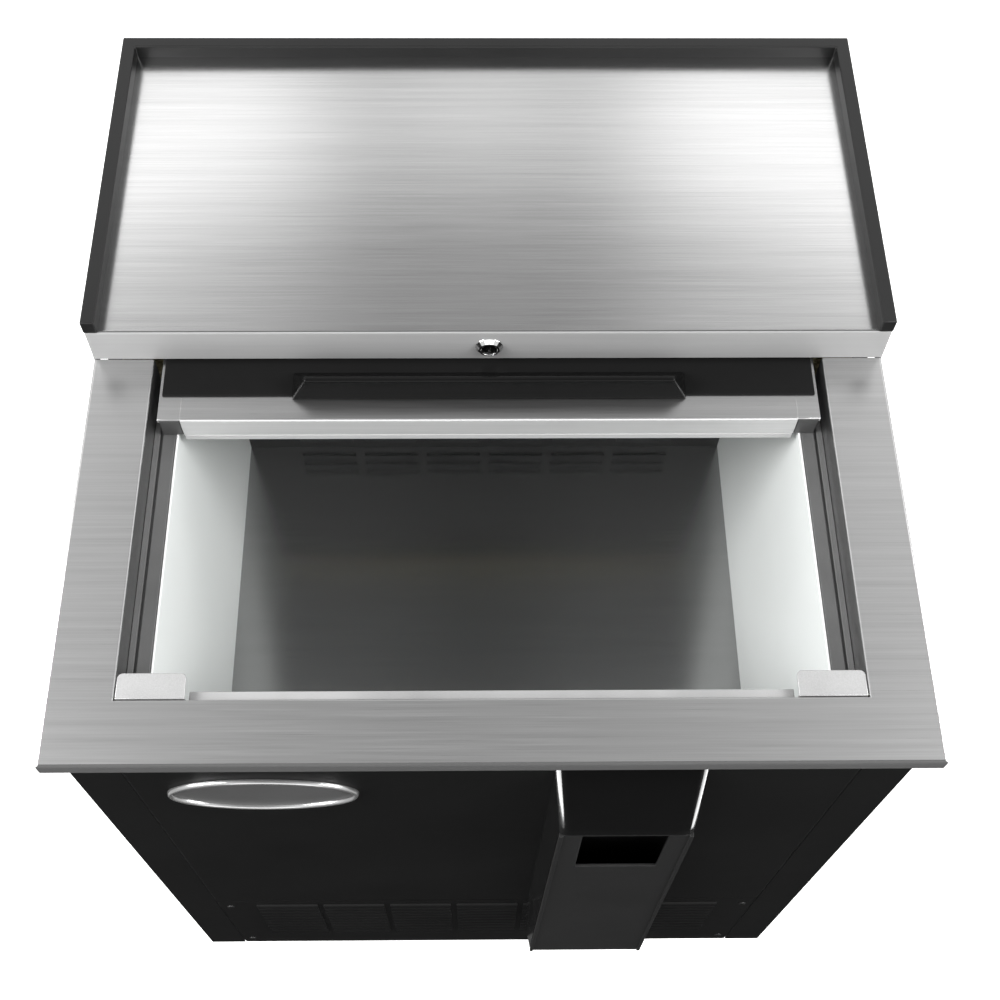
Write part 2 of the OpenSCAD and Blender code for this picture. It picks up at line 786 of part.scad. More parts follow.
module cord_gland() {
    color("#1b1b1d") difference() {
        union() {
            rod_y(gland_x, gland_z, in_b - 20, cab_b, gland_r);
            translate([gland_x, cab_b, gland_z]) rotate([-90, 0, 0]) cylinder(r1 = 12, r2 = 10, h = 9);
        }
        rod_y(gland_x, gland_z, in_b - 21, cab_b + 10, 4.5);
    }
}

// Casters

module caster_plates() {
    color("#9fa2a5") for (p = caster_at) translate([p[0], p[1], 0]) {
        span([-38, -45, caster_h - plate_t], [38, 45, caster_h]);
        translate([0, 0, crown_z + fork_t + 3.5])
            cylinder(r = 6, h = caster_h - plate_t - crown_z - fork_t - 3.5);
        translate([0, 0, caster_h - plate_t - 5]) cylinder(r = 24, h = 5);
        for (sx = [-1, 1]) for (sy = [-1, 1])
            translate([sx * 29, sy * 36, caster_h - plate_t - 5]) cylinder(r = 6, h = 5, $fn = 6);
    }
}

// A fork, hung from the kingpin, with its axle
module caster_fork(i) {
    half = wheel_w / 2 + fork_gap;
    color("#b4b7ba") translate([caster_at[i][0], caster_at[i][1], 0]) {
        translate([0, 0, crown_z]) cylinder(r = 22, h = fork_t);
        translate([0, 0, crown_z + fork_t]) cylinder(r = 12, h = 3);
        span([-half - fork_t, -12, crown_z], [half + fork_t, 24, crown_z + fork_t]);
        for (s = [0, 1]) mirror([s, 0, 0]) translate([half, 0, 0])
            rotate([90, 0, 90]) linear_extrude(fork_t)
                polygon([[-12, crown_z + fork_t], [24, crown_z + fork_t],
                    [caster_trail + 12, wheel_r + 6], [caster_trail + 12, wheel_r - 12],
                    [caster_trail - 12, wheel_r - 12], [caster_trail - 14, wheel_r + 6]]);
        rod_x(caster_trail, wheel_r, -half - fork_t - 4, half + fork_t + 4, axle_r);
    }
}

module caster_fork_1() { caster_fork(0); }
module caster_fork_2() { caster_fork(1); }
module caster_fork_3() { caster_fork(2); }
module caster_fork_4() { caster_fork(3); }

// A wheel: flat tread with rounded shoulders, dished sides and a bored hub
module caster_wheel(i) {
    h = wheel_w / 2;
    color("#3c3d40")
        translate([caster_at[i][0], caster_at[i][1] + caster_trail, wheel_r]) rotate([0, 90, 0])
        rotate_extrude($fn = 96) polygon([[axle_r + axle_clear, -h], [15, -h], [18, -h + 4], [33, -h + 4],
            [36, -h], [wheel_r - 3, -h], [wheel_r, -h + 4], [wheel_r, h - 4], [wheel_r - 3, h],
            [36, h], [33, h - 4], [18, h - 4], [15, h], [axle_r + axle_clear, h]]);
}

module caster_wheel_1() { caster_wheel(0); }
module caster_wheel_2() { caster_wheel(1); }
module caster_wheel_3() { caster_wheel(2); }
module caster_wheel_4() { caster_wheel(3); }

// A brake pedal, turning on the axle's ends and reaching round the back of the tread
module brake_pedal(i) {
    half = wheel_w / 2 + fork_gap;
    pad_y = wheel_r + 2;
    pad_l = 10;
    color("#8c2b25") translate([caster_at[i][0], caster_at[i][1] + caster_trail, wheel_r]) {
        for (s = [0, 1]) mirror([s, 0, 0])
            rotate([90, 0, 90]) translate([0, 0, half + fork_t + 0.4]) difference() {
                linear_extrude(2) polygon([[-9, -9], [9, -9], [pad_y - 18, 16], [pad_y + pad_l, 22],
                    [pad_y + pad_l, 27], [pad_y - 22, 27], [-9, 9]]);
                translate([0, 0, -1]) cylinder(r = axle_r + axle_clear, h = 4);
            }
        span([-half - fork_t - 2.4, pad_y, 22], [half + fork_t + 2.4, pad_y + pad_l, 27]);
    }
}

module brake_pedal_1() { brake_pedal(0); }
module brake_pedal_2() { brake_pedal(1); }

side_panel_left();
side_panel_right();
front_panel();
front_grille();
rear_panel();
rear_grille();
base_pan();
foam_blocks();
liner_left();
liner_right();
liner_front();
liner_floor();
evaporator_cover();
evaporator_coil();
evaporator_fan_frame();
evaporator_fan_blade();
counter_frame();
deck_panel();
gallery_rail();
lock_bezel();
lock_barrel();
lid_track_left();
lid_track_right();
front_trim();
corner_keepers();
badge();
panel_screws();
opener_housing();
bottle_opener();
cap_bin();
lid_skin();
lid_cover();
lid_core();
lid_liner();
lid_glides();
compressor();
compressor_mounts();
condenser_coil();
condenser_fan_frame();
condenser_fan_blade();
refrigerant_lines();
drain_pan();
control_box();
thermostat_knob();
cord_gland();
caster_plates();
caster_fork_1();
caster_fork_2();
caster_fork_3();
caster_fork_4();
caster_wheel_1();
caster_wheel_2();
caster_wheel_3();
caster_wheel_4();
brake_pedal_1();
brake_pedal_2();
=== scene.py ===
import json
import math

import bmesh
import bpy
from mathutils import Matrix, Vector


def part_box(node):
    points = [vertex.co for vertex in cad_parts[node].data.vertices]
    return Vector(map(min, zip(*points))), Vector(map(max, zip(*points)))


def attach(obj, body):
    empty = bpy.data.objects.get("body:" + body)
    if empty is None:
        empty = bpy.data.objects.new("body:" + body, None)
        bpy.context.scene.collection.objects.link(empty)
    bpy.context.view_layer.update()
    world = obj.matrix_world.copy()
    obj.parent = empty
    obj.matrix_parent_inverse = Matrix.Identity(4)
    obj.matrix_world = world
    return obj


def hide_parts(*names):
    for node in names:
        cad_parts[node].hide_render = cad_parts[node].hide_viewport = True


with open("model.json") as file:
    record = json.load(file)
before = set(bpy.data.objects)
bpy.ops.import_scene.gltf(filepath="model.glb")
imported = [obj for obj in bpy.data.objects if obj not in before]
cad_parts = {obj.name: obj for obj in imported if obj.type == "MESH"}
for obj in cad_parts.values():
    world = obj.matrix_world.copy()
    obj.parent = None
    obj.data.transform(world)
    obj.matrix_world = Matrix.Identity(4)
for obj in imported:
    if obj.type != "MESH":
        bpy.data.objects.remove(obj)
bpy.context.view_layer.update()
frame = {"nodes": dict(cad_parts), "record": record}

bodyOf = {node: body for body, members in frame["record"]["behaviour"]["bodies"].items() for node in members}

counterLow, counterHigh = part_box("counter_frame")
deckLow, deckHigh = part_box("deck_panel")
trackLow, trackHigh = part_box("lid_track_right")
skinLow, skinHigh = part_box("lid_skin")
housingLow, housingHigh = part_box("opener_housing")
binLow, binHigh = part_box("cap_bin")
frontLow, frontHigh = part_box("front_panel")
grilleLow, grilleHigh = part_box("front_grille")
coverLow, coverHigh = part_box("evaporator_cover")
rearLow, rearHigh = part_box("rear_grille")
backFace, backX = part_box("rear_panel")[1].y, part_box("rear_panel")[1].x
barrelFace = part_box("lock_barrel")[0].y

counterTop = counterHigh.z
mouthX = trackHigh.x  # half width of the opening
wellX = trackLow.x  # half width of the well
fasciaY = deckLow.y

print("frame loaded,", len(frame["nodes"]), "nodes")


# Node trees, for shaders and for geometry

class Wire:
    def __init__(self, tree, socket=None):
        self.tree = tree
        self.socket = socket

    def add(self, kind, settings=None, inputs=None, out=0):  # one node; settings before sockets
        node = self.tree.nodes.new(kind)
        for name, value in (settings or {}).items():
            if name == "stops":
                setStops(node.color_ramp, value)
            else:
                setattr(node, name, value)
        for name, value in (inputs or {}).items():
            if isinstance(value, Wire):
                self.tree.links.new(value.socket, node.inputs[name])
            else:
                node.inputs[name].default_value = value
        return Wire(self.tree, node.outputs[out])

    def maths(self, operation, *values, clamp=False):
        return self.add("ShaderNodeMath", {"operation": operation, "use_clamp": clamp}, dict(enumerate(values)))

    def __add__(self, other):
        return self.maths("ADD", self, other)

    __radd__ = __add__

    def __sub__(self, other):
        return self.maths("SUBTRACT", self, other)

    def __rsub__(self, other):
        return self.maths("SUBTRACT", other, self)

    def __mul__(self, other):
        return self.maths("MULTIPLY", self, other)

    __rmul__ = __mul__

    def __truediv__(self, other):
        return self.maths("DIVIDE", self, other)

    def held(self):  # kept between 0 and 1
        return self.maths("ADD", self, 0.0, clamp=True)

    def mix(self, low, high):  # this wire is the share of high
        return self.add("ShaderNodeMix", {"data_type": "RGBA"}, {0: self, 6: low, 7: high}, out=2)


def setStops(ramp, stops):
    ramp.elements[0].position, ramp.elements[0].color = stops[0]
    ramp.elements[-1].position, ramp.elements[-1].color = stops[-1]
    for place, shade in stops[1:-1]:
        ramp.elements.new(place).color = shade


def grey(value):
    return (value, value, value, 1.0)


# Camera, floor and lights

cameraSet = {
    "lens": 50.81,
    "sensor": 36.0,
    "shiftX": 0.01375,
    "aside": -0.0146,  # from the middle of the counter
    "before": 0.2879,  # in front of the counter's edge
    "above": 0.9227,  # over the counter
    "turn": (27.977, -0.466, -0.461),  # degrees
}


def makeCamera(s):
    data = bpy.data.cameras.new("studioCamera")
    data.lens = s["lens"]
    data.sensor_width = s["sensor"]
    data.shift_x = s["shiftX"]
    camera = bpy.data.objects.new("studioCamera", data)
    camera.location = (s["aside"], counterLow.y - s["before"], counterTop + s["above"])
    camera.rotation_euler = [math.radians(a) for a in s["turn"]]
    bpy.context.scene.collection.objects.link(camera)
    bpy.context.scene.camera = camera


studio = {
    "floorSize": 14.0,
    "floorShade": 0.92,
    "floorGlow": 0.62,
    "skyStops": [(0.0, 0.02), (0.04, 0.12), (0.5, 0.4), (0.62, 0.62), (0.7, 0.56), (0.77, 0.35), (0.84, 0.23),
        (0.92, 0.2), (1.0, 0.22)],  # brightness by height, halved
    "bandStops": [(0.0, 0.74), (0.1, 0.72), (0.26, 0.34), (0.36, 0.4), (0.5, 0.5), (0.62, 0.42), (0.74, 0.34),
        (0.9, 0.74), (1.0, 0.76)],  # brightness from left to right overhead, halved
    "bandSpan": 0.27,
    "skyGain": 4.0,  # undoes the two halvings
    "fill": 0.7,  # from the back and the sides, fading upwards
    "backStart": 0.1,
    "backGain": 2.5,
    "sideStart": 0.45,
    "sideGain": 3.0,
    "upFall": 1.7,
    "backdrop": 1.0,
    "boxes": {  # place, aim, width, height, watts
        "sideLeft": ((-1.8, -0.6, 2.25), (0.1, 0.0, 0.7), 0.9, 0.9, 70.0),
        "sideRight": ((1.8, -0.65, 2.25), (-0.1, 0.0, 0.7), 0.9, 0.9, 58.0),
        "front": ((0.0, -3.2, 1.9), (0.0, 0.0, 0.7), 2.8, 1.6, 24.0),
    },
    "hoodBoxes": {  # these light the catcher's hood alone
        "hoodLeft": ((-0.482, -0.604, 0.302), (0.05, -0.305, 0.738), 0.44, 0.36, 13.0),
        "hoodRight": ((0.673, -0.455, 0.228), (0.148, -0.305, 0.738), 0.44, 0.36, 4.8),
    },
}


def makeStudio(s):
    bpy.context.scene.view_settings.view_transform = "Standard"
    world = bpy.data.worlds.new("studioSky")
    world.use_nodes = True
    sky = world.node_tree.nodes["Background"]
    sky.inputs["Color"].default_value = grey(1.0)
    start = Wire(world.node_tree)
    ray = start.add("ShaderNodeTexCoord", out=0)
    across = start.add("ShaderNodeSeparateXYZ", {}, {"Vector": ray}, out=0)
    up = start.add("ShaderNodeSeparateXYZ", {}, {"Vector": ray}, out=2)
    high = start.add("ShaderNodeValToRGB", {"stops": [(u, grey(v)) for u, v in s["skyStops"]]}, {"Fac": up})
    share = across / (2 * s["bandSpan"]) + 0.5
    band = start.add("ShaderNodeValToRGB", {"stops": [(u, grey(v)) for u, v in s["bandStops"]]}, {"Fac": share})
    behind = start.add("ShaderNodeSeparateXYZ", {}, {"Vector": ray}, out=1)
    backFill = ((behind - s["backStart"]) * s["backGain"]).held()
    aside = across.maths("ABSOLUTE", across)
    sideFill = ((aside - s["sideStart"]) * s["sideGain"]).held()
    low = (1.0 - up * s["upFall"]).held()
    fill = backFill.maths("MAXIMUM", backFill, sideFill) * low * s["fill"]
    seen = start.add("ShaderNodeLightPath", out=0)
    glow = high * band * s["skyGain"] + fill
    strength = seen * s["backdrop"] + (1.0 - seen) * glow
    world.node_tree.links.new(strength.socket, sky.inputs["Strength"])
    bpy.context.scene.world = world
    for name, (place, aim, width, height, watts) in {**s["boxes"], **s["hoodBoxes"]}.items():
        light = bpy.data.lights.new(name, "AREA")
        light.shape = "RECTANGLE"
        light.size = width
        light.size_y = height
        light.energy = watts
        lamp = bpy.data.objects.new(name, light)
        lamp.location = place
        lamp.visible_camera = False
        lamp.rotation_euler = (Vector(aim) - Vector(place)).to_track_quat("-Z", "Y").to_euler()
        bpy.context.scene.collection.objects.link(lamp)


makeCamera(cameraSet)
makeStudio(studio)
print("camera and lights set")


# Finishes

def startFinish(name, s, metallic=0.0):
    material = bpy.data.materials.new(name)
    material.use_nodes = True
    shader = material.node_tree.nodes["Principled BSDF"]
    shader.inputs["Metallic"].default_value = s.get("metallic", metallic)
    shader.inputs["Specular IOR Level"].default_value = s.get("specular", 0.5)
    start = Wire(material.node_tree)
    place = start.add("ShaderNodeTexCoord", out=3)
    return material, shader, place


def endFinish(shader, colour, roughness, height=None, depth=0.0):
    wires = {"Base Color": colour, "Roughness": roughness}
    if height is not None:
        wires["Normal"] = height.add("ShaderNodeBump", {}, {"Height": height, "Distance": depth, "Strength": 1.0})
    for socket, wire in wires.items():
        shader.id_data.links.new(wire.socket, shader.inputs[socket])


def tinted(share, s):  # from dark to light; one number stands for a grey
    ends = [tone if isinstance(tone, tuple) else grey(tone) for tone in (s["dark"], s["light"])]
    return share.held().mix(*ends)


def noiseOn(place, scale, detail=2.0, roughness=0.5, distortion=0.0):
    spread = place.add("ShaderNodeMapping", {}, {"Vector": place, "Scale": scale})
    return place.add("ShaderNodeTexNoise", {}, {"Vector": spread, "Scale": 1.0, "Detail": detail,
        "Roughness": roughness, "Distortion": distortion})


# Brushed sheet: long thin streaks along X, with a slow change of tone from side to side
def brushedSheet(name, s):
    material, shader, place = startFinish(name, s, 1.0)
    along, across = s["grain"]
    fine = noiseOn(place, (along, across, across), 3.0, 0.65)
    streak = noiseOn(place, (along * 0.3, across * 0.12, across * 0.12), 2.0, 0.5)
    tone = (fine - 0.5) * s["fine"] + (streak - 0.5) * s["streak"] + 0.5
    endFinish(shader, tinted(tone, s), (fine - 0.5) * 0.12 + s["roughness"], fine, s["bump"])
    return material


# Paint and moulded plastic: a fine orange peel, and slow changes of gloss
def paintedSkin(name, s):
    material, shader, place = startFinish(name, s)
    peel = noiseOn(place, (s["peel"],) * 3, 2.0, 0.5)
    cloud = noiseOn(place, (s.get("cloud", 9.0),) * 3, 3.0, 0.6)
    speck = noiseOn(place, (s.get("speck", 2400.0),) * 3, 1.0, 0.5)
    share = (cloud * 0.7 + speck * 0.3 - 0.5) * s.get("swing", 1.6) + 0.5
    roughness = (cloud - 0.5) * s.get("glossSwing", 0.12) + s["roughness"]
    endFinish(shader, tinted(share, s), roughness, peel, s["bump"])
    return material


# Zinc coating: crystals of slightly different brightness
def spangledZinc(name, s):
    material, shader, place = startFinish(name, s, 1.0)
    crystal = place.add("ShaderNodeTexVoronoi", {}, {"Vector": place, "Scale": s["crystal"], "Randomness": 1.0},
        out=1)
    shade = crystal.add("ShaderNodeSeparateColor", {}, {"Color": crystal})
    cloud = noiseOn(place, (30.0,) * 3, 3.0)
    share = (shade * 0.6 + cloud * 0.6 - 0.6) * 1.2 + 0.5
    endFinish(shader, tinted(share, s), shade * 0.14 + s["roughness"], cloud, 0.00005)
    return material


# Cut foam: small cells of two sizes
def cutFoam(name, s):
    material, shader, place = startFinish(name, s)
    cells = place.add("ShaderNodeTexVoronoi", {}, {"Vector": place, "Scale": s["cells"]})
    cloud = noiseOn(place, (60.0,) * 3, 4.0)
    share = cells * 1.2 + (cloud - 0.5)
    endFinish(shader, tinted(share, s), cloud * 0.1 + 0.85, cells, 0.0006)
    return material


finishSets = {
    brushedSheet: {
        "counterSteel": {"grain": (9.0, 1500.0), "fine": 0.9, "streak": 0.7, "dark": 0.42, "light": 0.6,
            "roughness": 0.3, "bump": 0.00002},
        "deckSteel": {"grain": (9.0, 1500.0), "fine": 1.1, "streak": 0.6, "dark": 0.5, "light": 0.74,
            "roughness": 0.22, "bump": 0.00003},
        # the deck's steel on its front face, darker and nearly without metal: its flat grey is painted reflection and
        # painted shade, the grain is real
        "fasciaSteel": {"grain": (12.0, 1300.0), "fine": 0.8, "streak": 0.5, "dark": 0.25, "light": 0.32,
            "roughness": 0.5, "bump": 0.00002, "metallic": 0.12},
        # a near-black, dull copy of the steel for the bends: painted shade
        "bendSteel": {"grain": (12.0, 1300.0), "fine": 0.6, "streak": 0.4, "dark": 0.05, "light": 0.08,
            "roughness": 0.6, "bump": 0.00002, "metallic": 0.0, "specular": 0.1},
        "lidSteel": {"grain": (12.0, 1200.0), "fine": 0.8, "streak": 0.6, "dark": 0.4, "light": 0.56,
            "roughness": 0.3, "bump": 0.00002},
        # a lighter, half-metal copy of the lid steel for the front fold: painted reflection over a real grain
        "lidFront": {"grain": (12.0, 1200.0), "fine": 0.8, "streak": 0.8, "dark": 0.46, "light": 0.62,
            "roughness": 0.42, "bump": 0.00002, "metallic": 0.45},
        "floorSteel": {"grain": (14.0, 700.0), "fine": 0.5, "streak": 0.5, "dark": 0.31, "light": 0.4,
            "roughness": 0.17, "bump": 0.00001, "metallic": 0.85},
        "wellBack": {"grain": (14.0, 700.0), "fine": 0.5, "streak": 0.5, "dark": 0.05, "light": 0.075,
            "roughness": 0.45, "bump": 0.00001, "metallic": 0.4},
        "openerSteel": {"grain": (20.0, 900.0), "fine": 0.7, "streak": 0.5, "dark": 0.2, "light": 0.34,
            "roughness": 0.3, "bump": 0.00002},
    },
    paintedSkin: {
        "trimSteel": {"dark": 0.3, "light": 0.5, "roughness": 0.42, "peel": 900.0, "bump": 0.00008,
            "speck": 1500.0, "swing": 2.4, "metallic": 0.6},
        "cabinetBlack": {"dark": 0.0035, "light": 0.0055, "roughness": 0.5, "peel": 700.0, "bump": 0.00006,
            "specular": 0.15},
        "railBlack": {"dark": 0.007, "light": 0.011, "roughness": 0.34, "peel": 500.0, "bump": 0.00003,
            "specular": 0.3},
        "glossBlack": {"dark": 0.0022, "light": 0.0035, "roughness": 0.13, "peel": 160.0, "bump": 0.00003,
            "glossSwing": 0.05, "specular": 0.16},
        "coverBlack": {"dark": 0.005, "light": 0.008, "roughness": 0.3, "peel": 400.0, "bump": 0.00002,
            "glossSwing": 0.06, "specular": 0.1},
        "gripBlack": {"dark": 0.003, "light": 0.0045, "roughness": 0.2, "peel": 220.0, "bump": 0.00002,
            "glossSwing": 0.05, "specular": 0.13},
        "binGrey": {"dark": 0.009, "light": 0.013, "roughness": 0.48, "peel": 900.0, "bump": 0.0001,
            "specular": 0.3},
        "trackGrey": {"dark": 0.07, "light": 0.13, "roughness": 0.45, "peel": 500.0, "bump": 0.00006, "swing": 2.2},
        "glideGrey": {"dark": 0.04, "light": 0.07, "roughness": 0.5, "peel": 600.0, "bump": 0.00006},
        "linerWhite": {"dark": (0.7, 0.725, 0.715, 1), "light": (0.78, 0.8, 0.79, 1), "roughness": 0.34,
            "peel": 260.0, "bump": 0.00005, "cloud": 4.0, "glossSwing": 0.08},
        # a lighter copy of the liner white for the rolled top edge: painted highlight
        "linerEdge": {"dark": 0.8, "light": 0.86, "roughness": 0.3, "peel": 500.0, "bump": 0.00003},
        "lidWhite": {"dark": 0.36, "light": 0.42, "roughness": 0.4, "peel": 300.0, "bump": 0.00006},
        "fanBlack": {"dark": 0.02, "light": 0.032, "roughness": 0.55, "peel": 800.0, "bump": 0.0001},
        "fanWhite": {"dark": 0.6, "light": 0.72, "roughness": 0.5, "peel": 600.0, "bump": 0.00008},
        "controlGrey": {"dark": 0.04, "light": 0.06, "roughness": 0.55, "peel": 700.0, "bump": 0.0001},
        "knobBlack": {"dark": 0.01, "light": 0.016, "roughness": 0.4, "peel": 900.0, "bump": 0.00006},
        "machineBlack": {"dark": 0.012, "light": 0.022, "roughness": 0.38, "peel": 200.0, "bump": 0.0001},
        "rubberBlack": {"dark": 0.025, "light": 0.04, "roughness": 0.75, "peel": 900.0, "bump": 0.0001},
        "wheelRubber": {"dark": 0.045, "light": 0.075, "roughness": 0.62, "peel": 700.0, "bump": 0.0001,
            "swing": 2.0},
        "pedalRed": {"dark": (0.26, 0.02, 0.014, 1), "light": (0.4, 0.035, 0.022, 1), "roughness": 0.45,
            "peel": 500.0, "bump": 0.00008},
        "finAluminium": {"dark": 0.5, "light": 0.7, "roughness": 0.4, "peel": 700.0, "bump": 0.00005,
            "metallic": 1.0},
        "copperTube": {"dark": (0.5, 0.2, 0.1, 1), "light": (0.74, 0.36, 0.22, 1), "roughness": 0.32,
            "peel": 300.0, "bump": 0.00004, "metallic": 1.0, "cloud": 40.0},
        "badgeRing": {"dark": 0.36, "light": 0.48, "roughness": 0.2, "peel": 160.0, "bump": 0.00001,
            "metallic": 0.85, "glossSwing": 0.05},
        "chrome": {"dark": 0.62, "light": 0.72, "roughness": 0.1, "peel": 120.0, "bump": 0.00001, "metallic": 1.0,
            "glossSwing": 0.05},
        "darkChrome": {"dark": 0.09, "light": 0.16, "roughness": 0.22, "peel": 300.0, "bump": 0.00002,
            "metallic": 1.0, "glossSwing": 0.05},
        "badgeFace": {"dark": 0.07, "light": 0.11, "roughness": 0.4, "peel": 1100.0, "bump": 0.00005,
            "metallic": 0.4},
        "screwBlack": {"dark": 0.012, "light": 0.02, "roughness": 0.35, "peel": 600.0, "bump": 0.00003,
            "metallic": 0.4},
    },
    spangledZinc: {
        "galvanised": {"crystal": 190.0, "dark": 0.46, "light": 0.58, "roughness": 0.34},
        "casterZinc": {"crystal": 420.0, "dark": 0.5, "light": 0.62, "roughness": 0.28},
    },
    cutFoam: {
        "foam": {"cells": 420.0, "dark": (0.5, 0.42, 0.22, 1), "light": (0.82, 0.74, 0.5, 1)},
    },
}
finishes = {name: make(name, s) for make, sets in finishSets.items() for name, s in sets.items()}


def floorFinish(s):
    material, shader, place = startFinish("paleFloor", s)
    shader.inputs["Emission Color"].default_value = grey(1.0)
    shader.inputs["Emission Strength"].default_value = s["floorGlow"]
    cloud = noiseOn(place, (3.0,) * 3, 3.0)
    colour = cloud.mix(grey(s["floorShade"] - 0.01), grey(s["floorShade"]))
    endFinish(shader, colour, cloud * 0.1 + 0.8)
    return material


print("finishes made,", len(finishes))


# Making and finishing pieces

def plainPiece(name, corners, faces):
    mesh = bpy.data.meshes.new(name)
    mesh.from_pydata(corners, [], faces)
    mesh.update()
    piece = bpy.data.objects.new(name, mesh)
    bpy.context.scene.collection.objects.link(piece)
    return piece


def outward(piece):  # merges doubles and turns a closed mesh's faces outwards
    work = bmesh.new()
    work.from_mesh(piece.data)
    bmesh.ops.remove_doubles(work, verts=work.verts, dist=1e-6)
    bmesh.ops.recalc_face_normals(work, faces=work.faces)
    work.to_mesh(piece.data)
    work.free()
    return piece


def soften(piece, width, segments=2, angle=30.0):
    bevel = piece.modifiers.new("softEdges", "BEVEL")
    bevel.width = width
    bevel.segments = segments
    bevel.limit_method = "ANGLE"
    bevel.angle_limit = math.radians(angle)
    bevel.use_clamp_overlap = True
    bevel.miter_outer = "MITER_ARC"
    weigh = piece.modifiers.new("evenShade", "WEIGHTED_NORMAL")
    weigh.keep_sharp = True
    return piece


def freeze(piece):  # turns what the modifiers make into the piece's own mesh
    bpy.context.view_layer.update()
    graph = bpy.context.evaluated_depsgraph_get()
    mesh = bpy.data.meshes.new_from_object(piece.evaluated_get(graph))
    piece.modifiers.clear()
    piece.data = mesh
    return piece


def thicken(piece, thickness):  # a sheet grows behind its faces
    wall = piece.modifiers.new("sheet", "SOLIDIFY")
    wall.thickness = thickness
    wall.offset = -1.0
    return piece


def smooth(piece, angle=35.0):
    piece.data.shade_smooth()
    piece.data.set_sharp_from_angle(angle=math.radians(angle))
    return piece


def settle(piece, finish, *standsFor, body=None, slot=None):
    freeze(piece)
    piece.data.name = piece.name
    piece.data.materials.clear()
    piece.data.materials.append(finishes[finish])
    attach(piece, body or bodyOf[standsFor[0]])
    if standsFor:
        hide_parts(*standsFor)
    return piece


def faceFinish(piece, finish, chosen):  # a second finish on the faces that are chosen
    piece.data.materials.append(finishes[finish])
    for face in piece.data.polygons:
        if chosen(face):
            face.material_index = len(piece.data.materials) - 1


def camel(name):
    first, *rest = name.split("_")
    return first + "".join(word.capitalize() for word in rest)


def edged(node, width, segments=2, angle=30.0):  # a copy of a node's mesh with softened edges
    work = bmesh.new()
    work.from_mesh(frame["nodes"][node].data)
    bmesh.ops.remove_doubles(work, verts=work.verts, dist=1e-6)
    bmesh.ops.dissolve_limit(work, angle_limit=math.radians(0.5), verts=work.verts, edges=work.edges)
    mesh = bpy.data.meshes.new(camel(node))
    work.to_mesh(mesh)
    work.free()
    piece = bpy.data.objects.new(camel(node), mesh)
    bpy.context.scene.collection.objects.link(piece)
    smooth(piece, angle)
    return soften(piece, width, segments, angle)


def block(low, high):  # corners and faces of a box
    xs, ys, zs = zip(low, high)
    corners = [(x, y, z) for x in xs for y in ys for z in zs]
    faces = [(0, 1, 3, 2), (4, 6, 7, 5), (0, 4, 5, 1), (2, 3, 7, 6), (0, 2, 6, 4), (1, 5, 7, 3)]
    return corners, faces


def joined(*solids):  # several (corners, faces) as one
    corners, faces = [], []
    for c, f in solids:
        faces += [tuple(i + len(corners) for i in face) for face in f]
        corners += c
    return corners, faces


def arc(centre, radius, start, end, steps):  # points of a round corner, in a plane
    turns = [math.radians(start + (end - start) * i / steps) for i in range(steps + 1)]
    return [(centre[0] + radius * math.cos(t), centre[1] + radius * math.sin(t)) for t in turns]


def prismAlong(axis, outline, low, high):  # an outline in the other two axes, drawn out along one
    def put(a, u, v):
        return {"x": (a, u, v), "y": (u, a, v), "z": (u, v, a)}[axis]
    count = len(outline)
    corners = [put(low, u, v) for u, v in outline] + [put(high, u, v) for u, v in outline]
    faces = [(i, (i + 1) % count, count + (i + 1) % count, count + i) for i in range(count)]
    faces += [tuple(range(count)), tuple(range(count, 2 * count))]
    return corners, faces


def lathe(profile, steps, centre, axis="y", squash=1.0):  # (radius, place along the axis) turned round
    corners, faces = [], []
    for i in range(steps):
        turn = 2 * math.pi * i / steps
        for radius, along in profile:
            u, v = radius * math.cos(turn), radius * math.sin(turn) * squash
            offset = {"x": (along, u, v), "y": (u, along, v), "z": (u, v, along)}[axis]
            corners.append(tuple(c + o for c, o in zip(centre, offset)))
    count = len(profile)
    for i in range(steps):
        for k in range(count - 1):
            j = (i + 1) % steps
            faces.append((i * count + k, i * count + k + 1, j * count + k + 1, j * count + k))
    for k in (0, count - 1):
        if profile[k][0] > 0:
            faces.append(tuple(i * count + k for i in range(steps)))
    return corners, faces


# Geometry Nodes: copies of a piece on a grid that stands along X and Z
def gridTree():
    tree = bpy.data.node_groups.new("copiesOnGrid", "GeometryNodeTree")
    sizes = [("Geometry", "NodeSocketGeometry"), ("Columns", "NodeSocketInt"), ("Rows", "NodeSocketInt"),
        ("Column Pitch", "NodeSocketFloat"), ("Row Pitch", "NodeSocketFloat"), ("Middle", "NodeSocketVector"),
        ("Finish", "NodeSocketMaterial")]
    for label, kind in sizes:
        tree.interface.new_socket(label, in_out="INPUT", socket_type=kind)
    tree.interface.new_socket("Geometry", in_out="OUTPUT", socket_type="NodeSocketGeometry")
    start = Wire(tree)
    group = tree.nodes.new("NodeGroupInput")
    wires = {label: Wire(tree, group.outputs[label]) for label, kind in sizes}
    grid = start.add("GeometryNodeMeshGrid", {}, {
        "Size X": (wires["Columns"] - 1) * wires["Column Pitch"],
        "Size Y": (wires["Rows"] - 1) * wires["Row Pitch"],
        "Vertices X": wires["Columns"], "Vertices Y": wires["Rows"]})
    stood = start.add("GeometryNodeTransform", {}, {"Geometry": grid, "Translation": wires["Middle"],
        "Rotation": (math.pi / 2, 0.0, 0.0)})
    copies = start.add("GeometryNodeInstanceOnPoints", {}, {"Points": stood, "Instance": wires["Geometry"]})
    real = start.add("GeometryNodeRealizeInstances", {}, {"Geometry": copies})
    finished = start.add("GeometryNodeSetMaterial", {}, {"Geometry": real, "Material": wires["Finish"]})
    end = tree.nodes.new("NodeGroupOutput")
    tree.links.new(finished.socket, end.inputs[0])
    return tree


